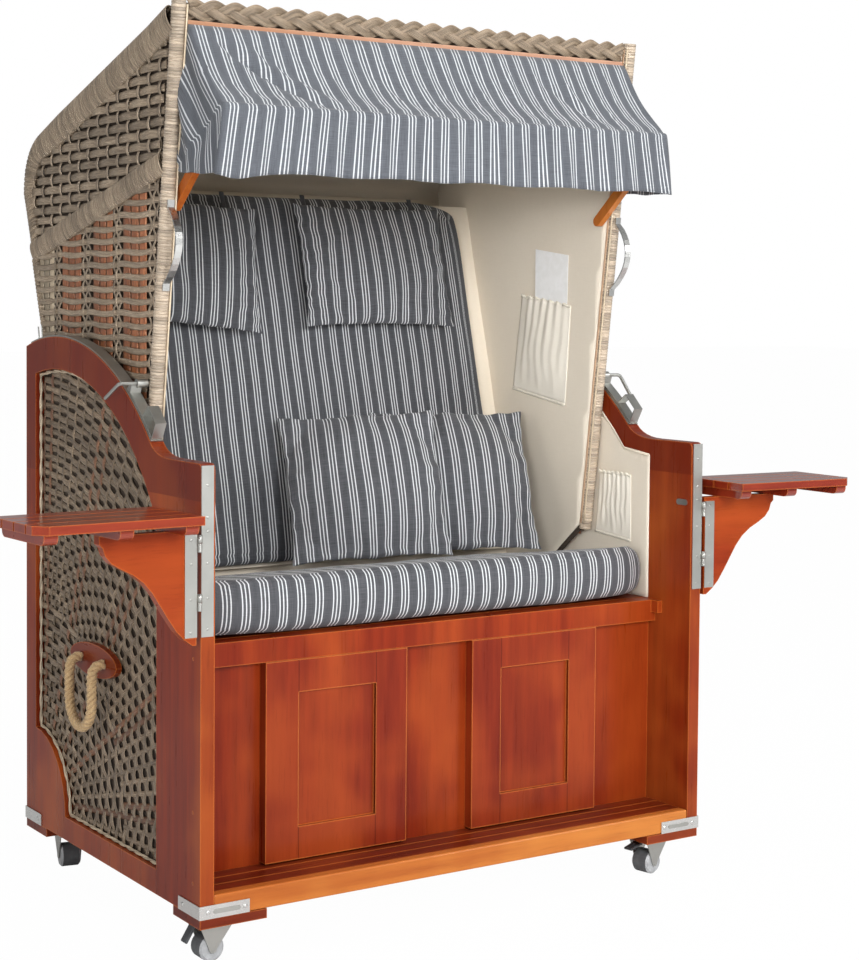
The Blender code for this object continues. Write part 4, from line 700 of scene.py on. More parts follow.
def lower_row_lift(a, n):
    """A row passes over and under the thin stakes and floats out over each brown column."""
    places, lifts = [], []
    turn = 1 if n % 2 else -1
    for stakes, first, last in stakes_and_columns():
        for i, stake in enumerate(stakes):
            places.append(stake)
            lifts.append(turn * WEAVE_DEPTH * (1 if i % 2 else -1))
        places.append((first + last) / 2)
        lifts.append(FLOAT_LIFT)
    return np.interp(a, places, lifts)


def hood_side_wicker(side, sign):
    place = on_side(sign, HOOD_OUTER - WEAVE_SINK)
    outward = (sign, 0, 0)
    strands = Strands()
    band_front, band_rear = band_up(BAND_FRONT[0]), band_up(0.87)
    upper = [
        (front_line(1.60) + ROLL_CLEAR, 1.625),
        (ROOF_END_BACK - 0.02, roof_up(ROOF_END_BACK) - RIM_WIDTH * 0.9),
        (REAR_TOP_BACK - RIM_WIDTH * 0.8, REAR_TOP_UP), (rear_back(band_rear) - 0.006, band_rear),
        (front_line(band_front) + ROLL_CLEAR, band_front),
    ]
    weave(strands, place, outward, upper, ROW_GAP, STAKE_GAP, 0.0162, 0.0105, (0.262, 1.2))
    lower = [
        (front_line(HOOD_FOOT_UP) + ROLL_CLEAR, HOOD_FOOT_UP), (AXIS_BACK - 0.05, AXIS_UP),
        (AXIS_BACK + 0.05, AXIS_UP), (rear_back(HOOD_KINK_UP), HOOD_KINK_UP),
        (rear_back(band_rear) - 0.004, band_rear), (front_line(1.36) + ROLL_CLEAR, band_front),
    ]
    low, high = AXIS_UP, BAND_FRONT[1]

    def drooping(a, b, lift):
        return place(a, b - LOW_ROW_DROOP * math.sin(math.pi * (a - 0.27) / 0.158) ** 2, lift)

    for n in range(int((high - low) / LOW_ROW_GAP) + 1):
        a = np.arange(0.2, 0.95, 0.0085)
        flat = np.stack([a, np.full_like(a, low + n * LOW_ROW_GAP)], 1)
        for path in laid(drooping, flat, lower_row_lift(a, n), lower):
            strands.add(path, outward, LOW_ROW_WIDTH, STRAND_THICK)
    b = np.arange(low, high, 0.008)

    def upright(a, lift, width, slot=0):
        for path in laid(place, np.stack([np.full_like(b, a), b], 1), lift, lower):
            strands.add(path, outward, width, STRAND_THICK, slot=slot)

    for stakes, first, last in stakes_and_columns():
        for i, a in enumerate(stakes):
            upright(a, WEAVE_DEPTH * np.cos(math.pi * ((b - low) / LOW_ROW_GAP + i)), 0.008)
        width = (last - first) / COLUMN_BANDS
        for i in range(COLUMN_BANDS):
            upright(first + width * (i + 0.5), COLUMN_SINK, width * 0.96, 1 if last < COLUMNS[-1][1] else 2)
    x = sign * (HOOD_OUTER - 0.004)
    band = [(x, back(a), up(band_up(a))) for a in np.linspace(front_line(1.36) + ROLL_CLEAR, 0.885, 9)]
    band_cross = unit(np.array((0, 0.236, 0.972)))
    wraps(strands, band, band_cross, outward, BAND_HALF, 0.0085, lean=0.28)
    rim = [(front_line(1.625) + ROLL_CLEAR, roof_up(front_line(1.63)) - RIM_WIDTH / 2)]
    rim += [(a, roof_up(a) - RIM_WIDTH / 2) for a in np.linspace(0.3, 0.83, 8)]
    rim += bend((0.85, roof_up(0.85) - RIM_WIDTH / 2), (0.905, 1.425), (0.915, 1.35), 6)
    rim += [(rear_back(z) - 0.03 + 0.018 * (1.35 - z) / 0.2, z) for z in (1.31, 1.27, 1.23, 1.19, 1.15)]
    flat = np.array(rim)
    slope = unit(np.gradient(flat, axis=0))
    shares = np.concatenate([[0], np.cumsum(np.linalg.norm(np.diff(flat, axis=0), axis=1))])
    shares /= shares[-1]

    def rim_cross(share):
        y, z = (np.interp(share, shares, slope[:, i]) for i in (0, 1))
        return unit(np.array((0, -z, y)))

    def rim_half(share):
        return float(np.interp(share, (0, 0.55, 0.75, 1), (0.030, 0.032, 0.026, 0.008)))

    wraps(strands, [(x - sign * 0.003, back(a), up(b)) for a, b in rim], rim_cross, outward, rim_half,
          lambda share: float(np.interp(share, (0, 0.75, 1), (0.0125, 0.012, 0.006))), lean=0.2)
    piece = strands.finish(f"hood_weave_{side}", (TAUPE, BROWN, PALE), "hood")
    # A dark sheet behind the side's weave: painted shade seen through its gaps.
    flat_plate(f"hood_side_core_{side}", hood_outline(), on_side(sign, HOOD_OUTER - HOOD_WALL + 0.001), 0,
               0.012, SHADE, "hood")
    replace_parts(piece, f"hood_side_{side}")


def rear_edge_wraps():
    """The rear edge of each side, wound close from the band down to the base."""
    for side, sign in SIDES:
        strands = Strands()
        x = sign * (HOOD_OUTER - 0.008)
        line = [(x, back(rear_back(z) - 0.006), up(z)) for z in np.linspace(1.2, HOOD_KINK_UP + 0.01, 9)]
        wraps(strands, line, (0, 1, 0.0), (sign, 0, 0), 0.008, 0.008)
        strands.finish(f"rear_edge_weave_{side}", (TAUPE,), "hood")


def front_rolls():
    """The wound rolls down the front edges of the hood, with a pale cord and a brown strip inside."""
    for side, sign in SIDES:
        strands = Strands()
        x = sign * ROLL_MIDDLE
        ends = (HOOD_FOOT_UP - 0.004, HOOD_TOP + 0.004)
        line = [(x, back(front_line(z)), up(z)) for z in np.linspace(*ends, 5)]
        slope = unit(np.array((0, 1, HOOD_FRONT_SLOPE)))
        wraps(strands, line, slope, (sign, 0, 0), ROLL_RADIUS - 0.0006, ROLL_RADIUS - 0.0006, gap=0.0062,
              width=0.0068)
        strands.finish(f"front_roll_{side}", (ROLL_CANE,), "hood")
        # The roll's core, in the dark shade colour: painted shade between the wraps.
        tube_mesh(f"front_roll_shaded_core_{side}", line, ROLL_RADIUS - 0.001, SHADE, "hood")
        trim = Strands()
        inner = sign * (HOOD_INNER + 0.001)
        cord = [(inner - sign * 0.001, back(front_line(z) - ROLL_RADIUS * 0.72), up(z))
                for z in np.linspace(ends[0] + 0.01, ends[1] - 0.01, 40)]
        trim.add(cord, (-sign, -0.6, 0), 0.0042, 0.0042)
        strip = [(inner - sign * 0.0012, back(front_line(z) + ROLL_RADIUS * 0.1), up(z))
                 for z in np.linspace(ends[0] + 0.01, ends[1] - 0.01, 40)]
        trim.add(strip, (-sign, 0, 0), 0.008, 0.003, slot=1)
        trim.finish(f"front_trim_{side}", (PALE, TRIM), "hood")


def round_ring(sides):
    turn = np.linspace(0, 2 * math.pi, sides, endpoint=False)
    return np.stack([np.cos(turn), np.sin(turn)], 1) / 2


def tube_mesh(name, line, radius, finish, body, sides=12):
    """A round bar along a line, with flat ends."""
    strands = Strands()
    run = unit(np.asarray(line[1], float) - np.asarray(line[0], float))
    outward = (1, 0, 0) if abs(run[0]) < 0.8 else (0, 0, 1)
    strands.add(line, outward, radius * 2, radius * 2, ring=round_ring(sides))
    return strands.finish(name, (finish,), body)


def shell_profile():
    """(back, up) down the outside of the roof and round its rear corner."""
    start = HOOD_FRONT_BACK + FRONT_RAIL_THICK
    roof = [(a, roof_up(a)) for a in np.linspace(start, ROOF_END_BACK, 12)[:-1]]
    return roof + rear_corner(8)


def along_profile(profile):
    """Places on a bent sheet: (across, distance along the profile) and lift."""
    flat = np.asarray(profile, float)
    steps = np.concatenate([[0], np.cumsum(np.linalg.norm(np.diff(flat, axis=0), axis=1))])
    slope = unit(np.gradient(flat, axis=0))

    def place(a, b, lift):
        y, z = np.interp(b, steps, flat[:, 0]), np.interp(b, steps, flat[:, 1])
        run_y, run_z = np.interp(b, steps, slope[:, 0]), np.interp(b, steps, slope[:, 1])
        return (a, back(y - run_z * lift), up(z + run_y * lift))
    return place, steps[-1]


def bent_sheet(name, profile, half, low, high, finish, body, columns=6):
    """A sheet bent along a profile, from one side of the hood to the other."""
    place, length = along_profile(profile)
    shape = bmesh.new()
    rows = 26
    layers = [[[shape.verts.new(place(half * (2 * i / columns - 1), length * j / rows, lift))
                for i in range(columns + 1)] for j in range(rows + 1)] for lift in (low, high)]
    for layer in layers:
        skin(shape, layer)
    for i in (0, columns):
        skin(shape, [[row[i] for row in layer] for layer in layers])
    for j in (0, rows):
        skin(shape, [layer[j] for layer in layers])
    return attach(simple_mesh(name, shape, finish), body)


def shell_wall(name, profile, half, margins, outward, node_name):
    """One wall of the hood, woven outside and lined inside."""
    place, length = along_profile(profile)
    low, high = margins[0], length - margins[1]
    strands = Strands()
    weave(strands, lambda a, b, lift: place(a, b, lift - WEAVE_SINK), outward,
          [(-half, low), (half, low), (half, high), (-half, high)], ROW_GAP, STAKE_GAP, 0.0145, 0.0095)
    piece = strands.finish(f"{name}_weave", (TAUPE,), "hood")
    # A dark sheet behind the weave: painted shade seen through its gaps.
    bent_sheet(f"{name}_core", profile, half, -0.022, -0.012, SHADE, "hood")
    bent_sheet(f"{name}_lining", profile, half, -SHELL_THICK + 0.001, -SHELL_THICK + 0.003, LINING, "hood")
    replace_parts(piece, node_name)


def hood_shell():
    shell_wall("roof", shell_profile(), HOOD_REACH - 0.004, (0.02, 0.002), unit(np.array((0, 0.25, 0.97))),
               "hood_roof")
    rear = [(np.interp(t, (0, 1), (rear_back(REAR_TOP_UP), rear_back(REAR_FOOT_UP))),
             np.interp(t, (0, 1), (REAR_TOP_UP, REAR_FOOT_UP))) for t in np.linspace(0, 1, 10)]
    shell_wall("rear_wall", rear, HOOD_INNER - 0.003, (0.004, 0.004), (0, 1, 0.3), "hood_rear")


BRAID_PERIOD = 0.135
BRAID_HALF_HEIGHT = 0.0138
BRAID_HALF_DEPTH = 0.006
BRAID_BUNDLE = 6
BRAID_STRAND = 0.0026


def braid():
    """Three bundles of cane plaited along the front of the roof."""
    strands = Strands()
    y = back(HOOD_FRONT_BACK + FRONT_RAIL_THICK - 0.010)
    z = up(HOOD_TOP - 0.013)
    half = HOOD_REACH - 0.004
    x = np.linspace(-half, half, 420)
    for bundle in range(3):
        phase = 2 * math.pi * (x / BRAID_PERIOD + bundle / 3)
        rise = np.sin(phase)
        lift = np.sin(2 * phase)
        for n in range(BRAID_BUNDLE):
            shift = (n - (BRAID_BUNDLE - 1) / 2) * BRAID_STRAND
            slope = 2 * math.pi / BRAID_PERIOD * BRAID_HALF_HEIGHT * np.cos(phase)
            norm = np.sqrt(1 + slope ** 2)
            dome = 0.0022 * (1 - (2 * shift / (BRAID_BUNDLE * BRAID_STRAND)) ** 2)
            path = np.stack([
                x - slope / norm * shift,
                y - BRAID_HALF_DEPTH * lift - dome - 0.012,
                z + BRAID_HALF_HEIGHT * rise + shift / norm,
            ], 1)
            strands.add(path, (0, -1, 0), BRAID_STRAND * 1.1, 0.0028)
    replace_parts(strands.finish("roof_braid", (TAUPE,), "hood"), "hood_roof")
    tube_mesh("roof_braid_core", [(across, y + 0.004, z) for across in (-half, 0, half)], 0.015, TAUPE, "hood")


# Wicker of the base

FAN_CENTRE = (BASE_DEPTH - 0.052, 0.048)
FAN_START = 0.158
FAN_ROW_GAP = 0.0178
FAN_STAKE_DEG = 5.6
FAN_DEGS = (88, 182)
FAN_ROWS = 46
FAN_EDGE = 0.012
FAN_SPLIT = 0.42
INSERT_RADIUS = 0.553


def insert_outline(inset):
    """The opening of a side panel, or with an inset, the wicker that fills it."""
    low, front = 0.048 + inset, 0.183 + inset
    rear = BASE_DEPTH - 0.052 - inset
    radius = INSERT_RADIUS - inset
    cut_radius = FAN_START + inset
    start = math.degrees(math.acos((rear - AXIS_BACK) / radius))
    end = math.degrees(math.acos((front - AXIS_BACK) / radius))
    tilt = math.degrees(math.asin(inset / cut_radius))
    return (
        [(front, low)]
        + arc(FAN_CENTRE, cut_radius, 180 - tilt, 90 + tilt, 8)
        + arc((AXIS_BACK, AXIS_UP), radius, start, end, 14)
    )


def side_fan(side, sign):
    """The fan of weaving in a side panel: rows in arcs about its rear lower corner, stakes out from it."""
    place = on_side(sign, HALF - 0.010 - WEAVE_SINK)
    outline = insert_outline(0.003)
    outward = (sign, 0, 0)
    strands = Strands()
    start_deg, end_deg = FAN_DEGS
    for n in range(FAN_ROWS):
        radius = FAN_START + FAN_EDGE + n * FAN_ROW_GAP
        spacing = FAN_STAKE_DEG if radius < FAN_SPLIT else FAN_STAKE_DEG / 2
        angles = np.arange(start_deg, end_deg, spacing / 4)
        turn = np.radians(angles)
        flat = np.stack([FAN_CENTRE[0] + radius * np.cos(turn), FAN_CENTRE[1] + radius * np.sin(turn)], 1)
        lift = WEAVE_DEPTH * np.cos(math.pi * (angles / spacing + n))
        for path in laid(place, flat, lift, outline):
            strands.add(path, outward, 0.0134, STRAND_THICK)
    for k in range(int((end_deg - start_deg) / (FAN_STAKE_DEG / 2))):
        angle = math.radians(start_deg + k * FAN_STAKE_DEG / 2)
        radius = np.arange(FAN_SPLIT if k % 2 else FAN_START, 0.95, FAN_ROW_GAP / 3)
        flat = np.stack([FAN_CENTRE[0] + radius * math.cos(angle),
                         FAN_CENTRE[1] + radius * math.sin(angle)], 1)
        lift = -WEAVE_DEPTH * np.cos(math.pi * ((radius - FAN_START - FAN_EDGE) / FAN_ROW_GAP + k)) * 0.6
        brown = k % 7 in (1, 2)
        for path in laid(place, flat, lift, outline):
            strands.add(path, outward, 0.014 if brown else 0.0098, STRAND_THICK, slot=int(brown))
    rim = insert_outline(0.004)
    rim = np.array(rim + rim[:1])
    dense = []
    for first, second in zip(rim, rim[1:]):
        count = max(2, int(np.linalg.norm(second - first) / 0.01))
        dense += [first + (second - first) * i / count for i in range(count)]
    for n in range(2):
        twist = np.arange(len(dense)) * 0.9 + n * math.pi
        path = [place(a + 0.0016 * math.cos(t), b + 0.0016 * math.cos(t), 0.005 + 0.0016 * math.sin(t))
                for (a, b), t in zip(dense, twist)]
        strands.add(path, outward, 0.005, 0.004, closed=True, slot=2)
    piece = strands.finish(f"side_weave_{side}", (FAN_CANE, FAN_BROWN, PALE), "base")
    # A dark sheet behind the fan's weave: painted shade seen through its gaps.
    flat_plate(f"side_weave_core_{side}", insert_outline(SEAM), on_side(sign, HALF - 0.022), 0.0004, 0.004,
               SHADE, "base")
    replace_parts(piece, f"side_wicker_{side}")


def rear_field():
    """The weaving in the framed panel across the back of the base."""
    y = back(BASE_DEPTH) - 0.0055
    strands = Strands()
    reach, low, high = INNER - 0.051, 0.051, 0.409
    outline = [(-reach, low), (reach, low), (reach, high), (-reach, high)]
    weave(strands, lambda a, b, lift: (a, y + lift * 0.8, up(b)), (0, 1, 0), outline, 0.0195, 0.042, 0.0135,
          0.0095)
    strands.finish("rear_panel_weave", (TAUPE,), "base")
    # A dark sheet behind the rear panel's weave: painted shade seen through its gaps.
    flat_plate("rear_panel_core", outline, lambda a, b, lift: (a, back(BASE_DEPTH) - 0.0097 + lift, up(b)), 0,
               0.0008, SHADE, "base")


# Cloth

def solidified(obj, thick, offset=-1.0):
    step = obj.modifiers.new("thickness", "SOLIDIFY")
    step.thickness = thick
    step.offset = offset
    return obj


def wave(a, b, scale, seed=0.0):
    """A smooth value from -1 to 1 at a place on a cloth."""
    return noise.noise(Vector((a * scale, b * scale, seed)))


CASE_EDGE = 0.004
CASE_WAIST = 0.055
SETTLE_FRAMES = 20


def pillow_case(name, width, height, cols, rows):
    """Two layers sewn together round their edge, which draws in a little between pointed corners."""
    shape = bmesh.new()
    layers = []
    for side in (-1, 1):
        layer = []
        for j in range(rows + 1):
            line = []
            for i in range(cols + 1):
                edge = i in (0, cols) or j in (0, rows)
                if side > 0 and edge:
                    line.append(layers[0][j][i])
                    continue
                u, v = 2 * i / cols - 1, 2 * j / rows - 1
                x = u * width / 2 * (1 - CASE_WAIST * (1 - abs(v) ** 3))
                z = v * height / 2 * (1 - CASE_WAIST * (1 - abs(u) ** 3))
                line.append(shape.verts.new((x, 0 if edge else side * CASE_EDGE, z)))
            layer.append(line)
        layers.append(layer)
    for n, layer in enumerate(layers):
        skin(shape, layer, flipped=n > 0)
    return simple_mesh(name, shape, STRIPES)


def settled(obj, pinned, shrink, pressure=0.0, gravity=0.0, bending=0.08):
    """Where Blender's cloth leaves the points of a mesh whose pinned points stay put."""
    pins = obj.vertex_groups.new(name="pins")
    pins.add([int(i) for i in pinned], 1.0, "REPLACE")
    step = obj.modifiers.new("settle", "CLOTH")
    cloth = step.settings
    cloth.vertex_group_mass = "pins"
    cloth.quality = 6
    cloth.mass = 0.15
    cloth.air_damping = 4
    cloth.tension_stiffness = 25
    cloth.compression_stiffness = 25
    cloth.shear_stiffness = 5
    cloth.bending_stiffness = bending
    cloth.shrink_min = shrink
    cloth.use_pressure = pressure > 0
    cloth.uniform_pressure_force = pressure
    cloth.effector_weights.gravity = gravity
    step.point_cache.frame_end = SETTLE_FRAMES
    scene = bpy.context.scene
    for number in range(1, SETTLE_FRAMES + 1):
        scene.frame_set(number)
    graph = bpy.context.evaluated_depsgraph_get()
    points = np.array([v.co for v in obj.evaluated_get(graph).data.vertices])
    obj.modifiers.remove(step)
    obj.vertex_groups.remove(pins)
    scene.frame_set(1)
    return points


def stuffed_pillow(name, width, height, thick, place, body, shift=0.0, seed=0.0, replaced=None):
    """A pillow: its case is sewn, blown up between its seams, brought to its real thickness and put in
    place."""
    cols, rows = 44, int(44 * height / width)
    case = pillow_case(name, width, height, cols, rows)
    flat = np.array([v.co for v in case.data.vertices])
    u, v = flat[:, 0] / (width / 2), flat[:, 2] / (height / 2)
    near = np.maximum(abs(u), abs(v))
    pinned = np.flatnonzero(abs(flat[:, 1]) < CASE_EDGE / 2)
    points = settled(case, pinned, -0.06, pressure=4.0)
    points[:, 1] *= thick / max(float(np.ptp(points[:, 1])), 1e-6)
    dome = np.clip((1 - u ** 2) * (1 - v ** 2), 0, 1) ** 0.72 * np.sign(flat[:, 1]) * thick / 2
    points[:, 1] += (dome - points[:, 1]) * 0.75
    for i in range(len(points)):
        lump = wave(u[i] * 1.4, v[i] * 1.4, 1.1, seed) * 0.012 * (1 - near[i] ** 4)
        along = u[i] if abs(v[i]) > abs(u[i]) else v[i]
        pucker = math.sin(26 * along + 3 * wave(along, near[i], 3.0, seed)) * 0.0056 * near[i] ** 4
        pucker *= 1 - 0.5 * near[i] ** 16
        points[i][1] += lump * (1 if flat[i][1] < 0 else 0.15) + pucker
    case.data.vertices.foreach_set("co", points.ravel())
    case.data.update()
    # Pillows under the hood take the darker copy of the cloth: painted shade.
    if body == "hood":
        case.data.materials[0] = SHADED_STRIPES
    wider = STRIPE_PITCH / (LOOSE_PITCH if body == "base" else BACK_PITCH)
    set_vector(case, "cloth", np.stack([flat[:, 0] * wider + shift, flat[:, 2], np.full(len(flat), seed)], 1))
    finer(case)
    case.matrix_world = place
    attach(case, body)
    if replaced:
        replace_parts(case, replaced)
    return case


# Width, height and thickness of each loose pillow, then its middle: across, behind the front, over the seat
LOOSE_LENGTHS = {
    "left": (0.355, 0.345, 0.105, 0.028, 0.451, 0.2418),
    "right": (0.36, 0.352, 0.105, 0.272, 0.4626, 0.2427),
}
# Lean to the rear, turn about the upright and tilt in its own plane
LOOSE_DEGS = {"left": (26.0, -22.0, 3.0), "right": (31.0, -20.0, 0.0)}
RECLINE_DEG = 15.0
BACK_FOOT = (0.525, 0.545)
BACK_LENGTH = 0.847
BACK_START = 0.012
BACK_WIDTH = 0.94
BACK_THICK = 0.055
NECK_HEIGHT = 0.292
NECK_THICK = 0.09
NECK_RISE = 0.665
# Width, place across, depth sunk into the cushion and tilt
NECKS = {"left": (0.39, -0.312, 0.0024, 5.0), "right": (0.40, 0.177, 0.0013, 0.0)}


def back_place(across, rise, out):
    """A place on the leaning backrest: its height along the slope, and how far it stands out in front."""
    lean = math.radians(RECLINE_DEG)
    return (
        across,
        back(BACK_FOOT[0]) + rise * math.sin(lean) - out * math.cos(lean),
        up(BACK_FOOT[1]) + rise * math.cos(lean) + out * math.sin(lean),
    )


def pillows():
    for n, (side, lengths) in enumerate(LOOSE_LENGTHS.items()):
        width, height, thick, across, behind, above = lengths
        lean, turn, tilt = LOOSE_DEGS[side]
        place = (Matrix.Translation((across, back(behind), up(SEAT_HEIGHT + above)))
                 @ turned("Z", turn) @ turned("X", -lean) @ turned("Y", -tilt))
        stuffed_pillow(f"loose_pillow_{side}", width, height, thick, place, "base", 0.006 * n, 3.1 + 5 * n,
                       f"pillow_{side}")
    for n, (side, (width, across, sink, tilt)) in enumerate(NECKS.items()):
        middle = back_place(across, NECK_RISE, SEAM + NECK_THICK / 2 - sink)
        place = Matrix.Translation(middle) @ turned("X", -RECLINE_DEG) @ turned("Y", tilt)
        stuffed_pillow(f"head_pillow_{side}", width, NECK_HEIGHT, NECK_THICK, place, "hood", 0.012 * n,
                       13.7 + 5 * n, f"neck_pillow_{side}")
        straps = Strands()
        for x in (across - width * 0.36, across + width * 0.36):
            rises = np.linspace(NECK_RISE + NECK_HEIGHT / 2 - 0.012, BACK_LENGTH - 0.006, 8)
            path = [back_place(x, rise, 0.0085 - 0.006 * i / 7) for i, rise in enumerate(rises)]
            straps.add(path, (0, -1, 0.2), 0.012, 0.0014)
        straps.finish(f"neck_straps_{side}", (STRAP,), "hood")


ROUNDING = 0.02
CROWN = 0.009
WAIST = 0.005
CORNER_CUT = 0.032


def cushion_block(name, size, cuts, pitch, half_width_at=None, seed=0.0, fall=0.0):
    """A stuffed block about its own centre, with rounded edges, a crown and gentle hollows. Its top falls
    to the rear."""
    shape = bmesh.new()
    bmesh.ops.create_cube(shape, size=2.0)
    for axis, count in enumerate(cuts):
        along = [e for e in shape.edges if abs((e.verts[0].co - e.verts[1].co)[axis]) > 1]
        bmesh.ops.subdivide_edges(shape, edges=along, cuts=count, use_grid_fill=True)
    half_x, half_y, half_z = (extent / 2 for extent in size)
    marks = []
    for vert in shape.verts:
        u, v, w = vert.co
        shrink = ROUNDING * (1 - math.sqrt(max(0.0, 1 - w * w))) * max(abs(u), abs(v)) ** 6
        y = v * (half_y - shrink - WAIST * (1 - u * u) * abs(v) ** 3 - CORNER_CUT * u ** 10)
        wide = half_width_at(y) if half_width_at else half_x
        x = u * (wide - shrink - WAIST * (1 - v * v) * abs(u) ** 3 - CORNER_CUT / 3 * v ** 10)
        z = w * (half_z - CROWN + CROWN * (1 - u ** 4) * (1 - v ** 4)) - fall * (1 + v) / 2 * (1 + w) / 2
        ripple = 0.0035 * wave(x, y + z, 7.0, seed) + 0.0012 * wave(x, y - z, 26.0, seed + 4)
        z += ripple * w
        y += 0.0022 * wave(x, z, 16.0, seed + 9) * abs(v) ** 4
        side = u if abs(u) > 0.999 else 0
        across = x if not side else math.copysign(wide, u) + (1 - abs(w)) * u * half_z
        marks.append((across * STRIPE_PITCH / pitch, y + z * v, seed))
        vert.co = (x, y, z)
    obj = simple_mesh(name, shape, STRIPES)
    set_vector(obj, "cloth", marks)
    finer(obj)
    return obj


SEAT_PAD_ENDS = (0.112, 0.505)
SEAT_PAD_THICK = 0.122
SEAT_PAD_FALL = 0.055
SEAT_PAD_NARROWS = 0.285
SEAT_PAD_STEP = 0.02


def cushions():
    """The seat's pad, narrower where it runs in between the hood's sides, and the backrest's."""
    front, rear = SEAT_PAD_ENDS
    middle = (front + rear) / 2
    wide, narrow = INNER - 0.005, HOOD_INNER - 0.004

    def half_width_at(y):
        share = min(1.0, max(0.0, (y + middle - SEAT_PAD_NARROWS) / SEAT_PAD_STEP))
        return wide + (narrow - wide) * share

    seat = cushion_block("seat_pad", (2 * wide, rear - front, SEAT_PAD_THICK), (90, 36, 10), SEAT_PITCH,
                         half_width_at, 2.0, SEAT_PAD_FALL)
    seat.location = (0, back(middle), up(SEAT_HEIGHT + SEAM) + SEAT_PAD_THICK / 2)
    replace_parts(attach(seat, "base"), "seat_cushion")
    long = BACK_LENGTH - BACK_START
    pad = cushion_block("backrest_pad", (BACK_WIDTH, long, BACK_THICK), (70, 56, 6), BACK_PITCH, None, 6.0)
    # The backrest takes the darker copy of the cloth: painted shade.
    pad.data.materials[0] = SHADED_STRIPES
    pad.data.transform(turned("X", 90))
    middle = back_place(0, BACK_START + long / 2, -BACK_THICK / 2)
    pad.matrix_world = Matrix.Translation(middle) @ turned("X", -RECLINE_DEG)
    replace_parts(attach(pad, "hood"), "backrest_cushion")


def cloth_panel(name, outline, place, finish, body, ripple, step=0.02, thick=0.001):
    """A sheet of cloth cut to a flat outline and laid on a wall. ripple gives how far it lifts."""
    outline = [Vector(point) for point in outline]
    edge = []
    for first, second in zip(outline, outline[1:] + outline[:1]):
        count = max(1, int((second - first).length / step))
        edge += [first.lerp(second, i / count) for i in range(count)]
    flat = np.array(edge)
    low, high = flat.min(0), flat.max(0)
    grid = np.array([(a, b) for a in np.arange(low[0] + step / 2, high[0], step)
                     for b in np.arange(low[1] + step / 2, high[1], step)])
    near = np.min(np.linalg.norm(grid[:, None] - flat[None], axis=2), axis=1)
    grid = grid[inside(grid, flat) & (near > step * 0.45)]
    points = edge + [Vector(p) for p in grid]
    result = mathutils.geometry.delaunay_2d_cdt(points, [], [list(range(len(edge)))], 1, 1e-6)
    obj = mesh_object(name, [place(p[0], p[1], ripple(p[0], p[1])) for p in result[0]], result[2], finish)
    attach(solidified(obj, thick, 0.0), body)
    return obj


# The mouth and the foot of each pocket, from its rear corner to its front corner
WALL_POCKET = (((0.560, 1.135), (0.374, 1.111)), ((0.594, 0.917), (0.392, 0.887)))
SEAT_POCKET = (((0.305, 0.742), (0.196, 0.742)), ((0.318, 0.607), (0.194, 0.597)))
POCKET_COLUMNS = 44
POCKET_ROWS = 22
POCKET_FOLDS = 44


def hood_linings():
    for side, sign in SIDES:
        outline = [tuple(point) for point in inset_outline(hood_outline(), 0.004)]

        def ripple(a, b):
            return 0.0012 * wave(a, b, 5.0, sign * 3.0) + 0.0006 * wave(a, b * 0.3, 22.0, sign * 5.0)

        def place(a, b, lift):
            return (sign * (HOOD_INNER - 0.0012 - lift), back(a), up(b))

        cloth_panel(f"hood_lining_{side}", outline, place, LINING, "hood", ripple)
        gathered_pocket(f"wall_pocket_{side}", place, WALL_POCKET, "hood", sign, 0.018)


def base_linings():
    for side, sign in SIDES:
        seat = SEAT_HEIGHT + 0.001
        rear = BASE_DEPTH - 0.052
        radius = 0.58
        shoulder = math.degrees(math.asin((0.80 - AXIS_UP) / radius))
        start = math.degrees(math.acos((rear - AXIS_BACK) / radius))
        outline = (
            [(RECESS_DEPTH, seat), (rear, seat)]
            + arc((AXIS_BACK, AXIS_UP), radius, start, 180 - shoulder, 12)
            + [(RECESS_DEPTH, 0.79)]
        )

        def ripple(a, b):
            return 0.0009 * wave(a, b, 8.0, sign * 2.0)

        def place(a, b, lift):
            return (sign * (INNER - 0.002 - lift), back(a), up(b))

        sheet = cloth_panel(f"base_lining_{side}", outline, place, LINING, "base", ripple)
        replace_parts(sheet, f"side_lining_{side}")
        gathered_pocket(f"seat_pocket_{side}", place, SEAT_POCKET, "base", sign, 0.0015)
        hem = [place(a, b, 0.0016) for a, b in outline[2:]]
        strands = Strands()
        strands.add(hem, (-sign, 0, 0), 0.006, 0.0022)
        strands.finish(f"base_lining_hem_{side}", (PALE_CLOTH,), "base")


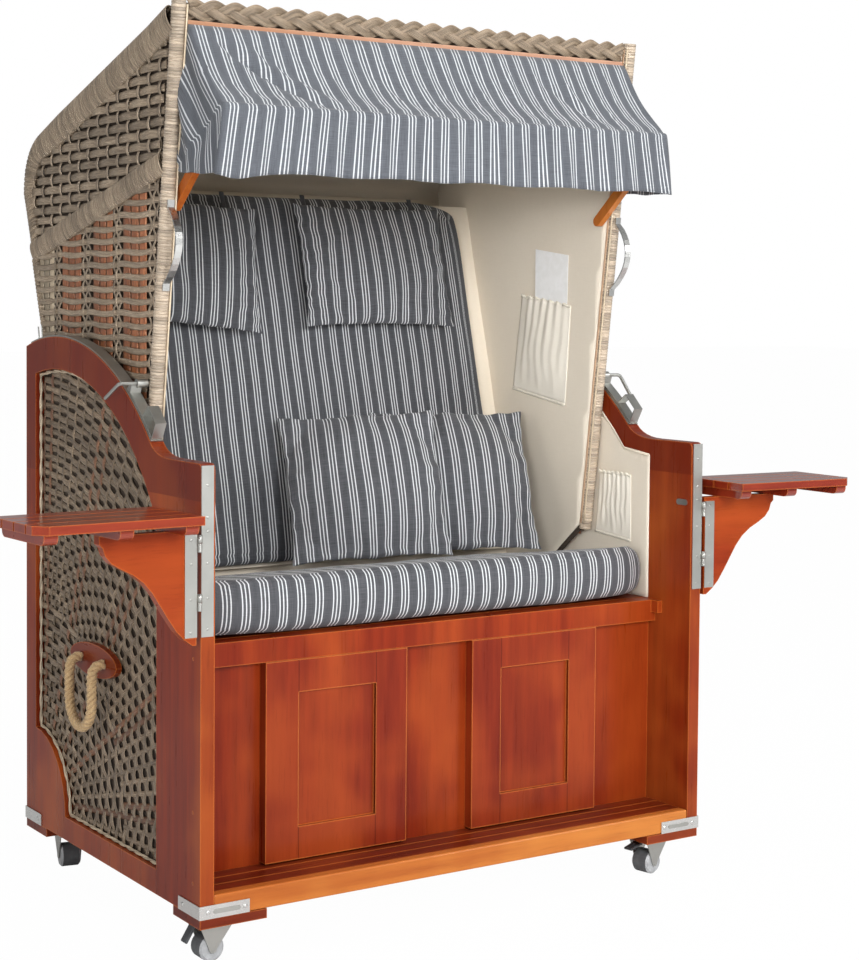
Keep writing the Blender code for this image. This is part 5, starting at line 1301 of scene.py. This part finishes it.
def gathered_pocket(name, place, corners, body, sign, fullness):
    """A pocket sewn on at its sides and foot, and gathered at its mouth by elastic."""
    top, foot = corners
    shape = bmesh.new()
    grid = []
    for j in range(POCKET_ROWS + 1):
        down = j / POCKET_ROWS
        line = []
        for i in range(POCKET_COLUMNS + 1):
            across = i / POCKET_COLUMNS
            a, b = part_way(part_way(*top, across), part_way(*foot, across), down)
            edge = min(1.0, 6 * min(across, 1 - across)) * min(1.0, 5 * (1 - down))
            gather = 0.5 + 0.5 * math.sin(across * POCKET_FOLDS + 2.2 * wave(across, down, 3.0, sign))
            belly = math.sin(math.pi * across) * math.sin(math.pi * min(1, down * 0.85 + 0.1))
            lift = 0.0016 + edge * (0.0032 * gather * (1 - down) ** 0.7 + fullness * 0.45 * belly)
            lift += 0.0025 * edge * wave(across * 2, down, 3.5, sign * 2.0)
            line.append(shape.verts.new(place(a, b + 0.003 * gather * (1 - down) ** 4, max(0.0012, lift))))
        grid.append(line)
    skin(shape, grid)
    area = sum(face.calc_area() for face in shape.faces)
    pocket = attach(solidified(simple_mesh(name, shape, CREAM), 0.0009, 0.0), body)
    mouth = []
    for share in np.linspace(0, 1, 60):
        a, b = part_way(*top, share)
        puff = 0.002 * math.sin(share * POCKET_FOLDS)
        mouth.append(place(a, b + puff, 0.0045 + puff))
    hem = Strands()
    hem.add(mouth, (-sign, 0, 0), 0.007, 0.003)
    sewn = [place(*part_way(*foot, share), 0.0022) for share in np.linspace(0, 1, 24)]
    hem.add(sewn, (-sign, 0, 0), 0.006, 0.0026)
    hem.finish(f"{name}_hem", (CREAM_EDGE,), body)


AWNING_BOW = (0.06, 1.465)
AWNING_TOP = 1.632
AWNING_FOOT = 1.362
AWNING_HEM = 1.352
AWNING_LIFT = 0.0125
AWNING_THICK = 0.0012
AWNING_CHEEK = 0.19
AWNING_FLARE = 0.02
AWNING_SEWN = HOOD_FRONT_BACK - 0.0031
CHEEK_COLUMNS = 16
TOP_COLUMNS = 150
OVER_BOW = range(13, 19)
# Each crease: where it leaves the rail, how far it runs across on its way down, its depth and its width
AWNING_CREASES = (
    (-0.98, 1.0, -0.016, 0.024), (-0.90, 1.0, 0.008, 0.035), (-0.35, 0.55, -0.007, 0.04),
    (0.05, 0.7, 0.006, 0.05), (0.42, 0.8, -0.008, 0.04), (0.62, 0.6, 0.006, 0.045), (0.9, 0.25, -0.006, 0.03),
)


def awning_line(start, over, front, hem, sag):
    """Points down one line of the awning, from where it's sewn on, over the bow, to the hem."""
    middle = [(a + b) / 2 for a, b in zip(start, over)]
    middle[2] -= sag
    knee = (over[0], front[1], over[2])
    hanging = [part_way(front, hem, (i + 1) / 12) for i in range(12)]
    return bend(start, middle, over, 14) + bend(over, knee, front, 5)[1:] + hanging


def awning_cheek(side, half):
    """Lines of one cheek, from its foot on the roll up to the bow, each with its place on the flat cloth."""
    bow_back, bow_up = AWNING_BOW
    foot = (side * half, front_line(AWNING_FOOT) + 0.0025, AWNING_FOOT)
    ends = (
        (side * half, AWNING_SEWN, AWNING_TOP),
        (side * half, bow_back, bow_up + AWNING_LIFT),
        (side * half, bow_back - AWNING_LIFT, bow_up),
        (side * (half + AWNING_FLARE), bow_back - AWNING_LIFT, AWNING_HEM),
    )
    lines = []
    for i in range(CHEEK_COLUMNS):
        share = 0.06 + 0.94 * i / CHEEK_COLUMNS
        points = awning_line(*(part_way(foot, end, share) for end in ends), 0.012 * share)
        bulge = math.sin(math.pi * share)
        shaped = []
        for j, (x, y, z) in enumerate(points):
            down = j / (len(points) - 1)
            fold = 0.007 * (1 + math.sin(share * 13 + down * 6)) * bulge
            shaped.append((x + side * (0.001 + fold), y, z + 0.006 * bulge * wave(share, down, 4.0, 2.0)))
        lines.append((side * (half + AWNING_CHEEK * (1 - share)), shaped))
    return lines


def awning_top(half):
    """Lines of the top and the hanging front, from one roll to the other."""
    bow_back, bow_up = AWNING_BOW
    lines = []
    for i in range(TOP_COLUMNS + 1):
        share = 2 * i / TOP_COLUMNS - 1
        near = 1 - share ** 8
        x = share * half
        wavy = 0.007 * (math.sin(share * math.pi * 7 + 1.3 * math.sin(share * 5)) - 0.9) * near
        wavy += 0.003 * math.sin(share * 61) * near
        dip = 0.012 * math.exp(-((share + 0.93) / 0.09) ** 2) - 0.002 * math.sin(share * 17)
        points = awning_line(
            (x, AWNING_SEWN, AWNING_TOP), (x, bow_back, bow_up + AWNING_LIFT),
            (x, bow_back - AWNING_LIFT, bow_up),
            (share * (half + AWNING_FLARE), bow_back - AWNING_LIFT + wavy, AWNING_HEM - dip),
            0.010 + 0.004 * math.sin(share * 9),
        )
        lines.append((x, crumple(points, share, near)))
    return lines


def awning():
    """One sheet: sewn along the rail and down both rolls, over the bow, with a hem that hangs in front."""
    half = HOOD_REACH - 0.0035
    lines = awning_cheek(-1, half) + awning_top(half) + awning_cheek(1, half)[::-1]
    marks = []
    for u, points in lines:
        steps = [math.dist(first, second) for first, second in zip(points, points[1:])]
        marks += [(u, along, 0.0) for along in np.cumsum([0.0] + steps)]
    shape = bmesh.new()
    skin(shape, [[shape.verts.new((x, back(y), up(z))) for x, y, z in points] for _, points in lines])
    cloth = simple_mesh("awning_sheet", shape, AWNING)
    rows, top_end = len(lines[0][1]), CHEEK_COLUMNS + TOP_COLUMNS
    pinned = []
    for n in range(len(lines)):
        if n in (0, len(lines) - 1):
            pinned += range(n * rows, n * rows + rows)
        held = (0, 1, *OVER_BOW) if CHEEK_COLUMNS <= n <= top_end else (0,)
        pinned += [n * rows + j for j in held]
    points = settled(cloth, pinned, -0.012, gravity=1.0, bending=0.4)
    cheek = np.ones(len(points), bool)
    cheek[CHEEK_COLUMNS * rows:(top_end + 1) * rows] = False
    wide = np.maximum(abs(points[:, 0]), half + 0.0005)
    points[cheek, 0] = (np.sign(points[:, 0]) * wide)[cheek]
    cloth.data.vertices.foreach_set("co", points.ravel())
    cloth.data.update()
    set_vector(cloth, "cloth", marks)
    solidified(cloth, AWNING_THICK, 0.0)
    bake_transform(cloth)
    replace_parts(cloth, "awning_cloth")


def crumple(points, share, near):
    """Diagonal creases on the top of the awning and soft folds that gather towards the bow."""
    shaped = []
    last = len(points) - 1
    for j, (x, y, z) in enumerate(points):
        down = j / last
        free = math.sin(math.pi * min(1.0, down / 0.46)) if down < 0.46 else 0.0
        crease = 0.0
        for start, slope, depth, width in AWNING_CREASES:
            away = share - (start + slope * down)
            crease += depth * math.exp(-(away / width) ** 2)
        ripple = 0.0045 * wave(share * 3, down * 0.8, 2.2, 8.0) + 0.002 * wave(share * 9, down, 3.0, 5.0)
        lift = (crease + ripple) * free * near
        hang = max(0.0, (down - 0.6) / 0.4)
        sway = 0.0035 * wave(share * 6, down * 0.5, 2.0, 21.0) * hang * near
        shaped.append((x, y - lift * 0.6 + sway, z + lift * 0.8))
    return shaped


# Rope handles

ROPE_RADIUS = 0.011
ROPE_SPREAD = 0.11
ROPE_DROP = 0.131
ROPE_STAND = 0.026
ROPE_SHARES = ((0.35, 0), (0.75, 0.15), (0.96, 0.5), (1, 1))
PLATE_BACK = 0.472
PLATE_UP = 0.398
PLATE_FACE = HALF - 0.010 + SEAM + 0.012
ROPE_TURN = 0.036


def rope_route(sign):
    """Centre line of the rope: out of the plate, down in a narrow U, and back into it."""
    face = sign * (PLATE_FACE + SEAM)
    stand = face + sign * ROPE_STAND
    turn = ROPE_SPREAD / 2
    top, middle = up(PLATE_UP), back(PLATE_BACK)
    points = []
    for end in (-1, 1):
        y = middle + end * turn
        side = [(face, y, top)] + [
            (face + sign * ROPE_STAND * out_share, y, top - ROPE_STAND * drop_share)
            for out_share, drop_share in ROPE_SHARES
        ]
        points += side if end < 0 else side[::-1]
        if end < 0:
            points += [(stand, y, z) for y, z in arc((middle, top - ROPE_DROP + turn), turn, 180, 360, 10)]
    return points


def resampled(points, step):
    """The same line with points at an even step."""
    points = np.asarray(points, float)
    length = np.concatenate([[0], np.cumsum(np.linalg.norm(np.diff(points, axis=0), axis=1))])
    at = np.linspace(0, length[-1], max(2, int(length[-1] / step)))
    return np.stack([np.interp(at, length, points[:, i]) for i in range(3)], 1), at


def rope_handles():
    """Three strands laid into each rope."""
    for side, sign in SIDES:
        route = rope_route(sign)
        line, at = resampled(route, 0.0035)
        for _ in range(3):
            line[1:-1] = (line[:-2] + line[1:-1] * 2 + line[2:]) / 4
        tangent = unit(np.gradient(line, axis=0))
        out = np.cross(tangent, (sign, 0, 0.0))
        flat_out = unit(out + 1e-6)
        other = np.cross(tangent, flat_out)
        strands = Strands()
        thick = ROPE_RADIUS * 1.06
        for n in range(3):
            angle = at / ROPE_TURN * 2 * math.pi + n * 2 * math.pi / 3
            offset = flat_out * np.cos(angle)[:, None] + other * np.sin(angle)[:, None]
            strands.add(line + offset * ROPE_RADIUS * 0.47, offset, thick, thick, ring=round_ring(8))
        rope = strands.finish(f"hemp_rope_{side}", (ROPE,), "base")
        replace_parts(rope, f"rope_handle_{side}")
        length = float(np.linalg.norm(np.diff(line, axis=0), axis=1).sum())
        tuple(line[0])
        [tuple(p) for p in line]


# Stage

CAMERA_PLACE = (-2.1394, -3.5091, 1.2092)
CAMERA_TURNS = (0.5835, 0.0427, 0.0079)
CAMERA_LENS = 80.76
CAMERA_SHIFT = -0.1089


def camera():
    """The photograph's view, from a place and its yaw, pitch and roll."""
    yaw, pitch, roll = CAMERA_TURNS
    ahead = Vector((math.sin(yaw) * math.cos(pitch), math.cos(yaw) * math.cos(pitch), -math.sin(pitch)))
    right = Vector((math.cos(yaw), -math.sin(yaw), 0))
    above = right.cross(ahead)
    across = right * math.cos(roll) + above * math.sin(roll)
    over = -right * math.sin(roll) + above * math.cos(roll)
    data = bpy.data.cameras.new("view")
    data.sensor_fit = "HORIZONTAL"
    data.sensor_width = 36.0
    data.lens = CAMERA_LENS
    data.shift_y = CAMERA_SHIFT
    obj = bpy.data.objects.new("view", data)
    obj.matrix_world = Matrix([*zip(across, over, -ahead, CAMERA_PLACE), (0, 0, 0, 1)])
    bpy.context.scene.collection.objects.link(obj)
    bpy.context.scene.camera = obj


def area_light(name, place, target, size, power, spread=180.0):
    data = bpy.data.lights.new(name, "AREA")
    data.spread = math.radians(spread)
    data.shape = "DISK"
    data.size = size
    data.energy = power
    obj = bpy.data.objects.new(name, data)
    obj.location = place
    obj.rotation_euler = (Vector(target) - Vector(place)).to_track_quat("-Z", "Y").to_euler()
    bpy.context.scene.collection.objects.link(obj)


def stage():
    scene = bpy.context.scene
    scene.view_settings.view_transform = "Standard"
    world = bpy.data.worlds.new("studio")
    world.use_nodes = True
    scene.world = world
    tree = world.node_tree
    background = tree.nodes["Background"]
    path = node(tree, "ShaderNodeLightPath")
    plain = maths(tree, "MAXIMUM", path.outputs["Is Camera Ray"], path.outputs["Is Transmission Ray"])
    glossy = maths(tree, "SUBTRACT", 0.43, maths(tree, "MULTIPLY", path.outputs["Is Glossy Ray"], 0.1))
    level = maths(tree, "MAXIMUM", plain, glossy)
    tree.links.new(level, background.inputs["Strength"])
    background.inputs["Color"].default_value = (1, 1, 1, 1)
    made, tree, shader = new_material("studio_floor", Base_Color=(0.86, 0.86, 0.86, 1), Roughness=0.9,
                                      Specular_IOR_Level=0.1)
    glow = node(tree, "ShaderNodeEmission", {"Color": (1, 1, 1, 1), "Strength": 1.0})
    path = node(tree, "ShaderNodeLightPath")
    seen = maths(tree, "MULTIPLY", path.outputs["Is Camera Ray"], 0.985)
    blend = node(tree, "ShaderNodeMixShader", {0: seen, 1: shader.outputs[0], 2: glow.outputs[0]})
    tree.links.new(blend.outputs[0], tree.nodes["Material Output"].inputs["Surface"])
    corners = [(-40, -40, 0), (40, -40, 0), (40, 40, 0), (-40, 40, 0)]
    floor = mesh_object("studio_floor", corners, [(0, 1, 2, 3)], made, smooth=False)
    area_light("key", (-0.6, -4.8, 2.2), (0.1, 0, 0.95), 1.6, 140)
    area_light("inside", (-2.9, -3.6, 1.5), (0.5, 0.0, 1.15), 0.8, 3.2, spread=34.0)
    area_light("right", (2.8, -3.6, 2.4), (0, 0, 0.8), 1.6, 66)
    area_light("left", (-4.4, -1.6, 1.8), (0, 0, 0.9), 2.0, 32)
    area_light("top", (0.2, -0.6, 4.6), (0, 0, 0.6), 2.5, 48)


# Finishes of the parts that stay as the frame has them

# Finish and bevel of each node that comes in a left and a right, and of each single node
PAIRED_FINISHES = (
    ("side_panel", SIDE_WOOD, 0.0025), ("side_lining", LINING, 0), ("hinge_leaf", STEEL, 0),
    ("recline_rail", STEEL, 0), ("handle_plate", DARK_WOOD["y"], 0.003), ("rope_handle", ROPE, 0),
    ("grab_handle", BRIGHT, 0), ("latch_plate", STEEL, 0), ("latch_lever", STEEL, 0),
    ("table_bracket", LIT_WOOD["x"], 0.0015), ("table_top", TABLE_WOOD, 0.002),
    ("footrest", FRAME_WOOD, 0.0015), ("corner_bracket_front", BRIGHT, 0), ("corner_bracket_rear", BRIGHT, 0),
)
SINGLE_FINISHES = (
    ("base_floor", DARK_WOOD["x"], 0.001), ("plinth_rail", ORANGE_WOOD["x"], 0),
    ("rear_panel", DARK_WOOD["x"], 0.002), ("seat_front", LIT_WOOD["z"], 0.001),
    ("seat_board", DARK_WOOD["x"], 0), ("hood_front_rail", RAIL_WOOD, 0.001), ("backrest_board", LINING, 0),
    ("awning_bow", ORANGE_WOOD["z"], 0.001),
)
CASTER_TURNS = {"front_left": 0.0, "front_right": 12.0, "rear_left": 79.0, "rear_right": 79.0}


def paint(node_name, finish, bevel=0.0):
    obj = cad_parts[node_name]
    obj.data.materials.clear()
    obj.data.materials.append(finish)
    if bevel:
        step = obj.modifiers.new("edges", "BEVEL")
        step.width = bevel
        step.segments = 2
        step.limit_method = "ANGLE"
        step.angle_limit = math.radians(40)
        step.harden_normals = False
    return obj


def paint_frame():
    for name, finish, bevel in PAIRED_FINISHES:
        for side, _ in SIDES:
            paint(f"{name}_{side}", finish, bevel)
    for corner in CORNERS:
        paint(f"caster_fork_{corner}", STEEL)
        tread_wheel(paint(f"caster_wheel_{corner}", GREY_PLASTIC), CASTER_TURNS[corner])
        if corner.startswith("front"):
            paint(f"caster_pedal_{corner}", DARK_PLASTIC)
    for name, finish, bevel in SINGLE_FINISHES:
        paint(name, finish, bevel)


def tread_wheel(wheel, turned):
    """The faces round a wheel's rim are rubber, and its sides plastic."""
    wheel.data.materials.append(TREAD)
    turn = math.radians(turned)
    axle = Vector((-math.sin(turn), math.cos(turn), 0))
    for face in wheel.data.polygons:
        if abs(face.normal.dot(axle)) < 0.5:
            face.material_index = 1


# Fittings

FRONT_FACE = BASE_FRONT - SEAM - 0.002
SWUNG_DEG = 2.5
LEAF_SCREWS = {
    "left": (0.787, 0.729, 0.704, 0.647, 0.584, 0.528),
    "right": (0.790, 0.732, 0.704, 0.647, 0.583, 0.526),
}
BRACKET_SCREWS = (0.69, 0.647, 0.583, 0.524)
SCREW_RADIUS = 0.0028
HINGE_AXIS = (HALF + 0.0044, BASE_FRONT - 0.0046)
BRACKET_LINE = 0.0127
SLAT_ENDS = (0.024, RECESS_DEPTH - 0.0006)
SLATS = 3


def on_front(a, b, lift):
    """A place on the front of the base, a distance before it."""
    return (a, FRONT_FACE - lift, up(b))


def table_fittings(side, sign):
    """Steel over a table bracket's leaf, its hinge's knuckles and the screws, as far open as the bracket is
    at rest."""
    body = f"table_bracket_{side}"
    near, far = HALF + 0.0089, HALF + 0.0335
    leaf = [(sign * near, 0.515), (sign * far, 0.515), (sign * far, 0.6995), (sign * near, 0.6995)]
    swung = [flat_plate(f"bracket_steel_{side}", leaf, on_front, 0.0001, 0.0007, STEEL, body)]
    x, y = sign * HINGE_AXIS[0], HINGE_AXIS[1]
    for n, height in enumerate((0.562, 0.668)):
        line = [(x, y, up(height + low)) for low in (0.0155, 0.023, 0.0305)]
        swung.append(tube_mesh(f"bracket_knuckle_{side}_{n}", line, 0.0045, STEEL, body))
    screws = [(on_front(sign * (HALF - 0.0125), height, 0.0), (0, -1, 0)) for height in LEAF_SCREWS[side]]
    studs(f"leaf_screws_{side}", screws, SCREW_RADIUS, STEEL, "base", 0.3)
    screws = [(on_front(sign * (HALF + 0.0215), height, 0.0006), (0, -1, 0)) for height in BRACKET_SCREWS]
    swung.append(studs(f"bracket_screws_{side}", screws, SCREW_RADIUS, STEEL, body, 0.3))
    axis = Matrix.Translation((x, y, 0))
    for piece in swung:
        piece.data.transform(axis @ turned("Z", -sign * SWUNG_DEG) @ axis.inverted())


def corner_fittings(corner):
    """The ridge of a corner bracket and the heads of its screws."""
    front = 1 if corner.startswith("front") else -1
    sign = -1 if corner.endswith("left") else 1
    face = BASE_FRONT if front > 0 else back(BASE_DEPTH)

    def on_bracket(a, b, lift):
        return (sign * a, face - front * (SEAM + 0.002 + lift), up(b))

    ridge = (arc((HALF - 0.030, BRACKET_LINE), 0.0042, -90, 90, 6)
             + arc((HALF - 0.077, BRACKET_LINE), 0.0042, 90, 270, 6))
    flat_plate(f"bracket_ridge_{corner}", ridge, on_bracket, 0.0001, 0.0009, STEEL, "base")
    heads = [(on_bracket(HALF - across, BRACKET_LINE, 0.0), (0, -front, 0)) for across in (0.015, 0.091)]
    heads.append(((sign * (HALF + SEAM + 0.002), face + front * 0.068, up(BRACKET_LINE)), (sign, 0, 0)))
    studs(f"bracket_heads_{corner}", heads, 0.0046, BRIGHT, "base")


def fittings():
    """Small parts that the frame doesn't have: steel, screws, plugs, floor slats and the pocket's card."""
    for side, sign in SIDES:
        table_fittings(side, sign)
        plugs = [((sign * (HALF - 0.0002), back(0.03), up(height)), (sign, 0, 0)) for height in (0.06, 0.19, 0.47)]
        studs(f"panel_plugs_{side}", plugs, 0.004, DARK_WOOD["y"], "base", 0.12)
    plate = arc((0.040, 0.697), 0.0062, -90, 90, 8) + arc((0.018, 0.697), 0.0062, 90, 270, 8)
    flat_plate("latch_seat_right", plate, on_side(-1, -INNER - SEAM), 0.0002, 0.0016, STEEL, "base")
    for corner in CORNERS:
        corner_fittings(corner)
    front, rear = SLAT_ENDS
    for n in range(SLATS):
        first = front + (rear - front) * n / SLATS
        last = front + (rear - front) * (n + 1) / SLATS - 0.0022
        flat_plate(f"floor_slat_{n}", [(first, 0.0186), (last, 0.0186), (last, 0.041), (first, 0.041)],
                   lambda a, b, lift: (lift, back(a), up(b)), 0.0006 - INNER, INNER - 0.0006,
                   DARK_WOOD["x"], "base")
    card = [(0.509, 1.242), (0.385, 1.226), (0.389, 1.06), (0.509, 1.075)]
    flat_plate("pocket_card", card, on_side(-1, 0.0026 - HOOD_INNER), 0.0004, 0.0012, CARD, "hood")


camera()
stage()
paint_frame()
for side, sign in SIDES:
    hood_side_wicker(side, sign)
    side_fan(side, sign)
front_rolls()
rear_edge_wraps()
hood_shell()
braid()
rear_field()
cushions()
pillows()
hood_linings()
base_linings()
awning()
rope_handles()
fittings()
